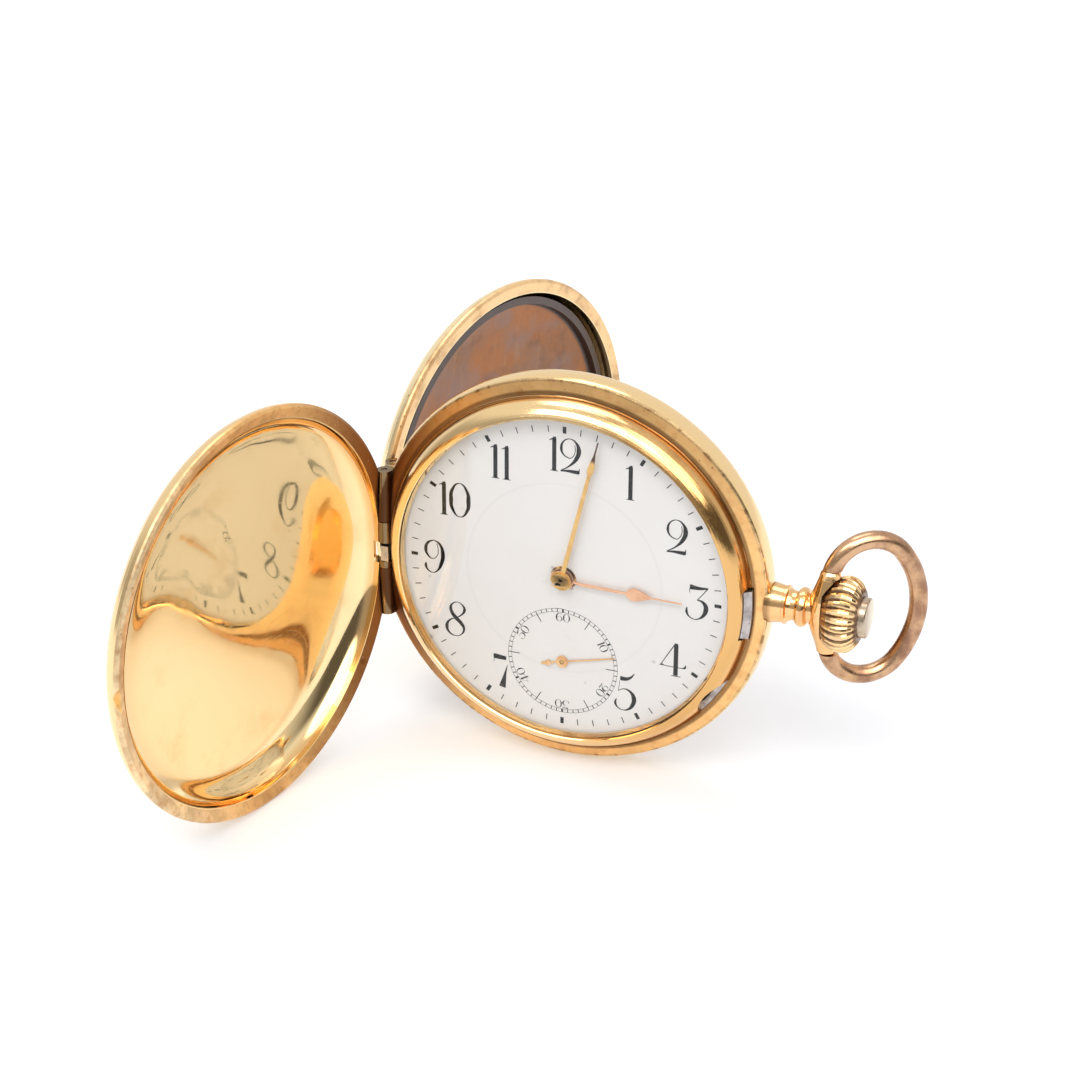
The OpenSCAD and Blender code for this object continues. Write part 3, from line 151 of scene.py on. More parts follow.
# clouds: soft patches of tarnish, size in millimetres
clouds, given, gives = new_group(
    "clouds", {"Vector": None, "Size": 4.0, "Seed": 0.0, "Low": 0.45, "High": 0.65}, ["Mask"]
)
patches = put(
    clouds,
    "TexNoise",
    {"noise_dimensions": "4D"},
    Vector=given["Vector"],
    W=given["Seed"],
    Scale=calc(clouds, "DIVIDE", 1.0, given["Size"]),
    Detail=5.0,
    Roughness=0.62,
).outputs[0]
clouds.links.new(rise(clouds, patches, given["Low"], given["High"]), gives["Mask"])

# specks: small round spots of dirt or wear, of which Share are there
specks, given, gives = new_group(
    "specks", {"Vector": None, "Size": 0.6, "Share": 0.3, "Seed": 0.0}, ["Mask"]
)
cells = put(
    specks,
    "TexVoronoi",
    {"voronoi_dimensions": "4D"},
    Vector=given["Vector"],
    W=given["Seed"],
    Scale=calc(specks, "DIVIDE", 1.0, given["Size"]),
)
chosen = put(specks, "SeparateColor", Color=cells.outputs["Color"]).outputs
near = rise(specks, cells.outputs["Distance"], 0.12, 0.3, 1.0, 0.0)
there = calc(specks, "LESS_THAN", chosen[0], given["Share"])
specks.links.new(times(specks, near, there), gives["Mask"])

# fine_wear: the fine grain, the hair scratches and the smudges of handled metal
fine_wear, given, gives = new_group(
    "fine_wear", {"Vector": None, "Size": 0.12, "Seed": 0.0}, ["Grain", "Scratches", "Smudge"]
)
grain = put(
    fine_wear,
    "TexNoise",
    {"noise_dimensions": "4D"},
    Vector=given["Vector"],
    W=given["Seed"],
    Scale=calc(fine_wear, "DIVIDE", 1.0, given["Size"]),
    Detail=2.0,
).outputs[0]
hairs = []
for turned in ((0.3, 0.2, 0.6), (0.9, 1.1, 2.1)):
    drawn_out = put(
        fine_wear, "Mapping", Vector=given["Vector"], Rotation=turned, Scale=(0.25, 6.0, 6.0)
    ).outputs[0]
    hair = put(fine_wear, "TexNoise", Vector=drawn_out, Scale=2.2, Detail=1.0).outputs[0]
    hairs.append(rise(fine_wear, hair, 0.68, 0.74))
smudge = put(fine_wear, "TexNoise", Vector=given["Vector"], Scale=0.22, Detail=3.0).outputs[0]
fine_wear.links.new(grain, gives["Grain"])
fine_wear.links.new(calc(fine_wear, "MAXIMUM", *hairs), gives["Scratches"])
fine_wear.links.new(rise(fine_wear, smudge, 0.4, 0.65), gives["Smudge"])


def cloudy(tree, here, size, seed, low, high):
    """A mask of soft patches."""
    return use(tree, clouds, Vector=here, Size=size, Seed=seed, Low=low, High=high)["Mask"]


def speckled(tree, here, size, share, seed):
    """A mask of small round spots."""
    return use(tree, specks, Vector=here, Size=size, Share=share, Seed=seed)["Mask"]


def lying(opened=0.0, hinge=(0, 0, 0)):
    """Turn and shift from row metres to millimetres on the closed watch lying with its dial up."""
    turn = Euler((math.radians(-90), math.radians(opened), 0)).to_matrix()
    closing = Matrix.Rotation(math.radians(opened), 3, "Y")
    centre = Vector((0, DIAL_HEIGHT, 0))
    return turn.to_euler(), closing @ (-centre - Vector(hinge)) + Vector(hinge)


def start_material(name, turn=(0, 0, 0), shift=(0, 0, 0)):
    """A new material, its tree, its Principled node and its coordinates in millimetres."""
    material = bpy.data.materials.new(name)
    material.use_nodes = True
    tree = material.node_tree
    place = put(tree, "TexCoord").outputs["Object"]
    here = put(
        tree, "Mapping", Vector=place, Rotation=turn, Location=shift, Scale=IN_MILLIMETRES
    ).outputs[0]
    return material, tree, tree.nodes["Principled BSDF"], here


def start_metal(name, place=None):
    """The same for a metal on the closed watch as it lies, with its round place there."""
    material, tree, shader, here = start_material(name, *(place or lying()))
    shader.inputs["Metallic"].default_value = 1.0
    return material, tree, shader, here, use(tree, round_place, Vector=here)


def finish_metal(tree, shader, here, layers, rough, bump=0.15, grain_size=0.12, seed=0.0, wavy=0.0):
    """Colours one over another, each (colour, mask), a roughness from (polished, dull, mask), and
    wear. Wavy is the strength of a low swell in the surface."""
    wear = use(tree, fine_wear, Vector=here, Size=grain_size, Seed=seed)
    seen = colour(*layers[0][0])
    for tint, mask in layers[1:]:
        seen = mixed(tree, mask, seen, colour(*tint))
    feed(tree, shader.inputs["Base Color"], seen)
    polished, dull, mask = rough
    roughness = rise(tree, mask, 0.0, 1.0, polished, dull)
    roughness = calc(tree, "ADD", roughness, times(tree, wear["Smudge"], 0.04))
    roughness = calc(tree, "ADD", roughness, times(tree, wear["Scratches"], 0.12))
    feed(tree, shader.inputs["Roughness"], roughness)
    height = calc(
        tree,
        "SUBTRACT",
        times(tree, wear["Grain"], rise(tree, mask, 0.0, 1.0, 0.05, 1.0)),
        times(tree, wear["Scratches"], 0.35),
    )
    bumps = put(tree, "Bump", Strength=bump, Distance=0.00002, Height=height)
    if wavy:
        waves = put(tree, "TexNoise", Vector=here, Scale=0.16, Detail=1.0).outputs[0]
        swell = put(tree, "Bump", Strength=wavy, Distance=0.0002, Height=waves)
        feed(tree, bumps.inputs["Normal"], swell.outputs[0])
    feed(tree, shader.inputs["Normal"], bumps.outputs[0])


def hinge_dirt(tree, at, hinge):
    """A mask of the old oil and dirt on the knuckles of a hinge."""
    away = distance(
        tree, calc(tree, "ADD", at["East"], -hinge[0]), calc(tree, "ADD", at["Height"], -hinge[2])
    )
    return rise(tree, away, KNUCKLE_RADIUS + 0.15, KNUCKLE_RADIUS + 0.5, 0.8, 0.0)


def dress(material, *names):
    """Gives CAD nodes their material."""
    for name in names:
        nodes[name].data.materials.clear()
        nodes[name].data.materials.append(material)


material, tree, shader, here, at = start_metal("case_gold")
front_seat = times(
    tree, rise(tree, at["Height"], -1.7, -1.5), rise(tree, at["Radius"], 25.75, 25.95, 1.0, 0.0)
)
seats = calc(tree, "MAXIMUM", front_seat, rise(tree, at["Height"], -4.9, -5.05))
brown = cloudy(tree, here, size=5.0, seed=1.0, low=0.42, high=0.72)
to_hinge = rise(tree, at["East"], -8.0, -24.0)
on_seats = times(tree, seats, calc(tree, "MAXIMUM", times(tree, brown, 0.2), to_hinge))
outside = times(tree, to_hinge, brown, 0.5)
dirt = times(tree, speckled(tree, here, size=0.55, share=0.22, seed=2.0), seats, 0.6)
# Painted shade: the seats darken in their inner corner by the bezel.
corner_shade = times(tree, seats, rise(tree, at["Radius"], 24.55, 24.25), 0.7)
mottle = cloudy(tree, here, size=1.1, seed=3.0, low=0.45, high=0.68)
knuckles = calc(
    tree, "MAXIMUM", hinge_dirt(tree, at, FRONT_HINGE), hinge_dirt(tree, at, BACK_HINGE)
)
grime = times(
    tree, band(tree, at["Radius"], 25.5, 25.95, 0.12), rise(tree, at["Height"], -1.95, -1.7)
)
finish_metal(
    tree,
    shader,
    here,
    [
        (POLISHED_GOLD, None),
        (DULL_GOLD, seats),
        ((206, 132, 66), times(tree, mottle, seats, 0.35)),
        (BROWN_TARNISH, calc(tree, "MAXIMUM", on_seats, outside)),
        # Dark brown: dirt specks on the seats, and the painted shade in their corner.
        ((92, 54, 30), calc(tree, "MAXIMUM", dirt, corner_shade)),
        ((130, 92, 58), times(tree, grime, rise(tree, mottle, 0, 1, 0.25, 0.8))),
        (HINGE_DIRT, knuckles),
    ],
    (0.12, 0.3, seats),
    bump=0.3,
)
dress(material, "case_middle")

# Bezel. The inner gold ring that holds the glass, snapped over the movement. Its broad slope is a
# little less polished than its lip at the glass, and the groove at its foot is tarnished.
material, tree, shader, here, at = start_metal("bezel_gold")
groove = rise(tree, at["Radius"], 23.35, 23.75)
lip = rise(tree, at["Radius"], 22.05, 21.9)
slope = calc(tree, "SUBTRACT", 1.0, calc(tree, "MAXIMUM", lip, times(tree, groove, 0.4)))
brown = cloudy(tree, here, size=6.0, seed=5.0, low=0.5, high=0.72)
north_east_shade = rise(tree, calc(tree, "ADD", at["East"], at["North"]), 12.0, 30.0)
finish_metal(
    tree,
    shader,
    here,
    [
        (POLISHED_GOLD, None),
        # Painted shade: the bezel turns a darker gold towards the east.
        ((220, 168, 100), rise(tree, at["East"], -4.0, 16.0, 0.0, 0.8)),
        (BROWN_TARNISH, times(tree, groove, 0.6)),
        # Brown tarnish patches, made much stronger towards the north-east as painted shade.
        ((176, 122, 66), times(tree, brown, rise(tree, north_east_shade, 0, 1, 0.15, 0.6))),
    ],
    (0.06, 0.09, slope),
    bump=0.3,
    seed=3.0,
)
dress(material, "bezel")

# Front cover. A thin gold dome on the left hinge. Its outside is polished. The rim on which it
# closes is dull, brown towards the hinge, and speckled with dirt and worn spots.
FRONT_OPEN = 102.0
COVER_WELL_RADIUS = 24.25
DOME_GOLD = (236, 194, 126)


def on_rim(tree, at, low, high):
    """A mask of a cover's flat rim, outside its well, past a height from low to high."""
    outer = rise(tree, at["Radius"], COVER_WELL_RADIUS, COVER_WELL_RADIUS + 0.1)
    return times(tree, outer, rise(tree, at["Height"], low, high))


material, tree, shader, here, at = start_metal("front_cover_gold", lying(FRONT_OPEN, FRONT_HINGE))
rim = on_rim(tree, at, -0.9, -1.1)
brown = cloudy(tree, here, size=5.5, seed=8.0, low=0.36, high=0.68)
to_hinge = rise(tree, at["East"], -4.0, -21.0)
tarnish = calc(tree, "MAXIMUM", times(tree, to_hinge, 0.9), times(tree, brown, 0.5))
dirt = speckled(tree, here, size=0.45, share=0.3, seed=4.0)
worn = speckled(tree, here, size=0.3, share=0.25, seed=7.0)
mottle = cloudy(tree, here, size=0.9, seed=10.0, low=0.45, high=0.68)
stain = speckled(tree, here, size=2.2, share=0.05, seed=6.0)
dirty = times(tree, calc(tree, "MAXIMUM", dirt, stain), rise(tree, rim, 0, 1, 0.06, 0.6))
finish_metal(
    tree,
    shader,
    here,
    [
        (POLISHED_GOLD, None),
        (DOME_GOLD, rise(tree, at["Height"], 0.0, 1.2)),
        (DULL_GOLD, rim),
        # The rim turns paler away from the hinge: a painted highlight.
        ((255, 228, 180), times(tree, rim, rise(tree, at["East"], 2.0, 20.0))),
        ((214, 146, 76), times(tree, mottle, rim, 0.5)),
        (BROWN_TARNISH, times(tree, rim, tarnish)),
        ((92, 56, 30), dirty),
        ((250, 222, 180), times(tree, worn, rim, 0.6)),
        (HINGE_DIRT, hinge_dirt(tree, at, FRONT_HINGE)),
    ],
    (0.14, 0.38, rim),
    bump=0.3,
    seed=9.0,
)
dress(material, "front_cover")

# Mirror of the front cover. The inside of the dome was burnished until it mirrors the dial, and has
# a few soft dents. It is spun here as a smooth thin skin on the cover's wall, and swings with it.
UPRIGHT = Matrix(
    ((0.001, 0, 0, 0), (0, 0, -0.001, 0), (0, 0.001, 0, DIAL_HEIGHT / 1000), (0, 0, 0, 1))
)
WALL_RADIUS = 24.16
WALL_HEIGHTS = (-1.06, -0.7)
WELL_FOOT = -1.1
WELL_DEPTH = 4.05
WELL_EDGE = 24.3
WELL_POWER = 6
WELL_STEPS = 40
SKIN_STEPS = 160
SKIN_THICK = 0.04
SHARP_ANGLE = 0.9
HINGE_SIDE = -20
LIFT_SPRING_NOTCH = (-2.7, 0.0, -0.1)


def keep_piece(mesh, name, material, body):
    """Stands a mesh, drawn lying in millimetres, in the row, and has it ride on its body."""
    mesh.transform(UPRIGHT)
    mesh.materials.clear()
    mesh.materials.append(material)
    piece = bpy.data.objects.new(name, mesh)
    bpy.context.scene.collection.objects.link(piece)
    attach(piece, body)


def finish_mesh(form, name):
    """The finished mesh of a form."""
    mesh = bpy.data.meshes.new(name)
    form.to_mesh(mesh)
    form.free()
    return mesh


def swing(mesh, opened, hinge):
    """Turns a mesh, drawn on the closed cover, about its hinge to where the cover stands open."""
    centre = Vector(hinge)
    turn = Matrix.Rotation(math.radians(-opened), 4, "Y")
    mesh.transform(Matrix.Translation(centre) @ turn @ Matrix.Translation(-centre))


def spun_skin(name, outline, thick, notch):
    """A thin round sheet: the outline of points (radius, height) spun about the middle. The notch
    (from, to, top) leaves out the sheet on the hinge side between two places North, up to a top."""
    form = bmesh.new()
    points = [form.verts.new((radius, 0, height)) for radius, height in outline]
    edges = [form.edges.new(pair) for pair in zip(points, points[1:])]
    bmesh.ops.spin(
        form,
        geom=points + edges,
        cent=(0, 0, 0),
        axis=(0, 0, 1),
        angle=math.tau,
        steps=SKIN_STEPS,
        use_merge=True,
    )
    bmesh.ops.remove_doubles(form, verts=form.verts, dist=0.001)
    bmesh.ops.recalc_face_normals(form, faces=form.faces)
    low, high, top = notch
    cut = []
    for face in form.faces:
        middle = face.calc_center_median()
        if middle.x < HINGE_SIDE and low < middle.y < high and middle.z < top:
            cut.append(face)
    bmesh.ops.delete(form, geom=cut, context="FACES")
    bmesh.ops.solidify(form, geom=form.faces, thickness=thick)
    for edge in form.edges:
        edge.smooth = edge.calc_face_angle(0.0) < SHARP_ANGLE
    for face in form.faces:
        face.smooth = True
    return finish_mesh(form, name)


well = [(WALL_RADIUS, height) for height in WALL_HEIGHTS]
for step in range(WELL_STEPS + 1):
    out = WALL_RADIUS * math.sin(math.radians(90 - 90 * step / WELL_STEPS))
    well.append((out, WELL_FOOT + WELL_DEPTH * math.sqrt(1 - (out / WELL_EDGE) ** WELL_POWER)))
mirror = spun_skin("front_cover_mirror", well, SKIN_THICK, LIFT_SPRING_NOTCH)
swing(mirror, FRONT_OPEN, FRONT_HINGE)
material, tree, shader, here, at = start_metal("burnished_gold", lying(FRONT_OPEN, FRONT_HINGE))
stain = cloudy(tree, here, size=7.0, seed=16.0, low=0.5, high=0.75)
finish_metal(
    tree,
    shader,
    here,
    [
        ((249, 220, 166), None),
        ((236, 180, 112), times(tree, stain, 0.35)),
        # A deeper gold on the steep wall near the rim: a painted reflection.
        ((236, 190, 128), rise(tree, at["Radius"], 23.3, 24.1)),
    ],
    (0.03, 0.1, stain),
    bump=0.08,
    seed=9.0,
    wavy=0.15,
)
keep_piece(mirror, "front_cover_mirror", material, "front_cover")

# Back cover. The same dome turned over on the rear hinge. Its inside is painted a very pale gold
# as a painted reflection, and its rim is a pale peach gold with brown patches, and dark specks on
# the outer edge.
BACK_OPEN = 73.7
material, tree, shader, here, at = start_metal("back_cover_gold", lying(-BACK_OPEN, BACK_HINGE))
rim = on_rim(tree, at, -5.9, -5.7)
edge = rise(tree, at["Radius"], 25.55, 25.9)
brown = cloudy(tree, here, size=4.0, seed=12.0, low=0.48, high=0.75)
dirt = speckled(tree, here, size=0.6, share=0.5, seed=13.0)
finish_metal(
    tree,
    shader,
    here,
    [
        # The very pale gold of the inside is a painted reflection.
        ((255, 232, 184), None),
        (DOME_GOLD, rise(tree, at["Height"], -6.4, -7.8)),
        ((248, 208, 154), rim),
        (BROWN_TARNISH, times(tree, brown, rise(tree, rim, 0, 1, 0.1, 0.6))),
        ((86, 56, 36), times(tree, dirt, edge, 0.7)),
        (HINGE_DIRT, hinge_dirt(tree, at, BACK_HINGE)),
    ],
    (0.2, 0.36, rim),
    bump=0.3,
    seed=14.0,
)
dress(material, "back_cover")

# Dust cover. A thin plated brass dish inside the back cover. Its rolled ring is dark steel grey,
# and its flat disc has a brown, mauve and orange patina where the plating has turned.
CUVETTE_OPEN = BACK_OPEN + 1.2
material, tree, shader, here, at = start_metal("cuvette_patina", lying(-CUVETTE_OPEN, BACK_HINGE))
ring = rise(tree, at["Radius"], 22.0, 22.15)
orange = cloudy(tree, here, size=8.0, seed=21.0, low=0.42, high=0.6)
mauve = cloudy(tree, here, size=7.0, seed=24.0, low=0.42, high=0.62)
dark = cloudy(tree, here, size=3.0, seed=27.0, low=0.5, high=0.75)
drawn_out = put(tree, "Mapping", Vector=here, Scale=(0.5, 0.12, 0.5)).outputs[0]
streaks = put(
    tree, "TexNoise", Vector=drawn_out, Scale=1.6, Detail=5.0, Roughness=0.7
).outputs[0]
finish_metal(
    tree,
    shader,
    here,
    [
        ((144, 104, 78), None),
        ((166, 106, 64), times(tree, orange, 0.75)),
        ((140, 112, 102), times(tree, mauve, 0.7)),
        ((164, 124, 92), times(tree, rise(tree, streaks, 0.5, 0.7), 0.4)),
        ((96, 70, 58), times(tree, dark, 0.4)),
        ((104, 94, 90), ring),
        # The thin lighter line round the disc's edge is a painted highlight.
        ((150, 104, 74), band(tree, at["Radius"], 21.9, 22.1, 0.1)),
    ],
    (0.3, 0.42, ring),
    bump=0.4,
    seed=22.0,
)
dress(material, "cuvette")

# Hinge pins and case springs. Steel pins through the knuckles, and flat spring steel inside the
# band. The pins are dark with old oil, and the catch that shows in the seat is silver grey.
def steel(name, tint, dull, spots, rough, seed):
    """A steel with duller patches, and with dark spots of this strength."""
    material, tree, shader, here, at = start_metal(name)
    patches = cloudy(tree, here, size=1.6, seed=seed, low=0.4, high=0.7)
    dots = speckled(tree, here, size=0.35, share=0.3, seed=seed + 1)
    finish_metal(
        tree,
        shader,
        here,
        [
            (tint, None),
            (dull, times(tree, patches, 0.6)),
            ((60, 50, 44), times(tree, dots, spots)),
        ],
        (rough, rough + 0.15, patches),
        bump=0.35,
        grain_size=0.08,
        seed=seed,
    )
    return material


dress(
    steel("oiled_steel", (128, 118, 110), (84, 66, 52), spots=0.5, rough=0.3, seed=31.0),
    "front_hinge_pin",
    "back_hinge_pin",
)
dress(
    steel("lock_steel", (196, 188, 184), (104, 98, 96), spots=0.9, rough=0.34, seed=35.0),
    "lock_spring",
)
dress(
    steel("spring_steel", (196, 194, 192), (140, 136, 134), spots=0.6, rough=0.3, seed=33.0),
    "lift_spring",
    "spring_screws",
    "case_screws",
)

# Pendant, crown and bow. The forked pendant is bright polished gold. The valleys of the crown's
# flutes are painted dark brown as painted shade, the bow's round wire has worn to a rosy brown
# satin, and the button has a pale end.
STEM_HEIGHT = -3.5
CROWN_EAST = 34.7
CROWN_HALF_LENGTH = 2.2
CROWN_RADIUS = 4.75
CROWN_FALL = 1.25
CROWN_POWER = 2.2
BUTTON_END = 37.8
material, tree, shader, here, at = start_metal("pendant_gold")
rosy = cloudy(tree, here, size=2.5, seed=41.0, low=0.5, high=0.8)
neck = rise(tree, at["East"], 26.4, 25.6)
finish_metal(
    tree,
    shader,
    here,
    [
        ((242, 196, 138), None),
        ((204, 136, 100), times(tree, rosy, 0.55)),
        ((110, 66, 40), times(tree, neck, 0.6)),
    ],
    (0.08, 0.2, rosy),
    bump=0.15,
    seed=42.0,
)
dress(material, "pendant")

material, tree, shader, here, at = start_metal("crown_gold")
off_axis = distance(tree, calc(tree, "ADD", at["Height"], -STEM_HEIGHT), at["North"])
along = calc(
    tree, "DIVIDE", calc(tree, "SUBTRACT", at["East"], CROWN_EAST), CROWN_HALF_LENGTH
)
fallen = calc(tree, "POWER", calc(tree, "ABSOLUTE", along), CROWN_POWER)
crest = calc(tree, "SUBTRACT", CROWN_RADIUS, times(tree, fallen, CROWN_FALL))
# Painted shade: dark brown in the valleys between the crown's flutes.
valley_shade = rise(tree, calc(tree, "SUBTRACT", crest, off_axis), 0.12, 0.34)
purple = cloudy(tree, here, size=1.2, seed=45.0, low=0.4, high=0.7)
finish_metal(
    tree,
    shader,
    here,
    [
        ((252, 216, 158), None),
        ((186, 138, 112), times(tree, purple, 0.4)),
        ((96, 62, 50), times(tree, valley_shade, 0.85)),
    ],
    (0.1, 0.3, valley_shade),
    bump=0.25,
    seed=46.0,
)
dress(material, "crown")

material, tree, shader, here, at = start_metal("bow_brass")
brown = cloudy(tree, here, size=3.0, seed=51.0, low=0.35, high=0.7)
gold = cloudy(tree, here, size=2.0, seed=53.0, low=0.5, high=0.75)
finish_metal(
    tree,
    shader,
    here,
    [
        ((214, 172, 134), None),
        ((138, 98, 80), times(tree, brown, 0.85)),
        ((216, 172, 116), times(tree, gold, 0.4)),
    ],
    (0.17, 0.32, brown),
    bump=0.3,
    seed=52.0,
)
dress(material, "bow")

material, tree, shader, here, at = start_metal("button_cap")
face = rise(tree, at["East"], BUTTON_END, BUTTON_END + 0.08)
brown = cloudy(tree, here, size=1.0, seed=57.0, low=0.45, high=0.75)
finish_metal(
    tree,
    shader,
    here,
    [
        ((196, 178, 154), None),
        ((130, 110, 96), times(tree, brown, 0.6)),
        ((246, 234, 212), face),
    ],
    (0.22, 0.3, face),
    bump=0.2,
    seed=58.0,
)
dress(material, "push_button")
dress(
    steel("stem_steel", (198, 196, 194), (150, 146, 142), spots=0.2, rough=0.2, seed=61.0),
    "winding_stem",
    "push_collar",
)

# Glass. A thin low dome of clear crystal pressed into the bezel, with the faintest smears. Lamps
# shine straight through it.
material, tree, shader, here = start_material("crystal_glass")
shader.inputs["Base Color"].default_value = (1, 1, 1, 1)
shader.inputs["Transmission Weight"].default_value = 1.0
shader.inputs["IOR"].default_value = 1.46
shader.inputs["Specular Tint"].default_value = (0.5, 0.5, 0.5, 1)
smears = put(tree, "TexNoise", Vector=here, Scale=0.12, Detail=3.0).outputs[0]
feed(tree, shader.inputs["Roughness"], rise(tree, smears, 0.5, 0.8, 0.0, 0.02))
passing = put(tree, "MixShader", Fac=put(tree, "LightPath").outputs["Is Shadow Ray"])
feed(tree, passing.inputs[1], shader.outputs[0])
feed(tree, passing.inputs[2], put(tree, "BsdfTransparent").outputs[0])
feed(tree, tree.nodes["Material Output"].inputs["Surface"], passing.outputs[0])
dress(material, "crystal")

# Dial. White enamel fired on a copper disc, with a slightly wavy gloss and a few tiny pits. The
# faint circle round the middle is where the old polishing wheel stopped.
WHEEL_MARK = (12.7, 12.9)
material, tree, shader, here = start_material("white_enamel", *lying())
at = use(tree, round_place, Vector=here)
warm = put(tree, "TexNoise", Vector=here, Scale=0.05, Detail=2.0).outputs[0]
pits = speckled(tree, here, size=1.5, share=0.06, seed=71.0)
line = band(tree, at["Radius"], *WHEEL_MARK, 0.15)
seen = mixed(tree, warm, colour(240, 238, 236), colour(236, 232, 228))
seen = mixed(tree, times(tree, line, 0.16), seen, colour(214, 212, 210))
seen = mixed(tree, times(tree, pits, 0.4), seen, colour(120, 105, 96))
feed(tree, shader.inputs["Base Color"], seen)
shader.inputs["Roughness"].default_value = 0.12
shader.inputs["Coat Weight"].default_value = 0.3
shader.inputs["Coat Roughness"].default_value = 0.03
waves = put(tree, "TexNoise", Vector=here, Scale=0.25, Detail=1.0).outputs[0]
bumps = put(tree, "Bump", Strength=0.1, Distance=0.00005, Height=waves)
feed(tree, shader.inputs["Normal"], bumps.outputs[0])
dress(material, "dial")

# Dial paint. Black vitreous paint fired on the enamel: the minute track, the seconds ring and the
# numerals with their heavy and hair-fine strokes. It stands a hundredth of a millimetre proud.
PAINT_HEIGHT = 0.012
TRACK_RADIUS = 20.0
SECONDS_AT = Vector((0, -11.5, 0))
CIRCLE_STEPS = 120
CIRCLE_WIDTH = 0.04
dial_paint, tree, shader, here = start_material("black_dial_paint")
thin = times(tree, cloudy(tree, here, size=0.7, seed=81.0, low=0.5, high=0.8), 0.6)
feed(tree, shader.inputs["Base Color"], mixed(tree, thin, colour(12, 8, 8), colour(52, 42, 42)))
shader.inputs["Roughness"].default_value = 0.3
shader.inputs["Specular IOR Level"].default_value = 0.2


def dash(form, centre, angle, inner, outer, width):
    """One short painted stroke that points at the centre."""
    place = (
        Matrix.Translation(centre)
        @ Matrix.Rotation(math.radians(angle), 4, "Z")
        @ Matrix.Translation(((inner + outer) / 2, 0, PAINT_HEIGHT / 2))
        @ Matrix.Diagonal((outer - inner, width, PAINT_HEIGHT, 1))
    )
    bmesh.ops.create_cube(form, size=1.0, matrix=place)


def painted_circle(form, centre, radius, width):
    """A thin painted circle: one short stroke's end face, spun all the way round."""
    inner, outer = radius - width / 2, radius + width / 2
    corners = ((inner, 0), (outer, 0), (outer, PAINT_HEIGHT), (inner, PAINT_HEIGHT))
    end = [form.verts.new(centre + Vector((x, 0, z))) for x, z in corners]
    edges = [form.edges.new((end[i - 1], end[i])) for i in range(4)]
    bmesh.ops.spin(
        form,
        geom=end + edges,
        cent=centre,
        axis=(0, 0, 1),
        angle=math.tau,
        steps=CIRCLE_STEPS,
        use_merge=True,
    )


# A minute's stroke is half a length and a width, and a second's two radii and a width
MINUTE = (0.42, 0.12)
FIFTH_MINUTE = (0.44, 0.45)
SECOND = (6.86, 7.3, 0.11)
FIFTH_SECOND = (5.78, 7.3, 0.11)
TENTH_SECOND = (6.82, 7.32, 0.24)
form = bmesh.new()
for count in range(60):
    half, width = FIFTH_MINUTE if count % 5 == 0 else MINUTE
    dash(form, Vector(), 90 - 6 * count, TRACK_RADIUS - half, TRACK_RADIUS + half, width)
for count in range(60):
    stroke = TENTH_SECOND if count % 10 == 0 else FIFTH_SECOND if count % 5 == 0 else SECOND
    dash(form, SECONDS_AT, 90 - 6 * count, *stroke)
for radius in SECOND[:2]:
    painted_circle(form, SECONDS_AT, radius, CIRCLE_WIDTH)
bmesh.ops.remove_doubles(form, verts=form.verts, dist=0.0001)
bmesh.ops.recalc_face_normals(form, faces=form.faces)
keep_piece(finish_mesh(form, "dial_tracks"), "dial_tracks", dial_paint, "watch")

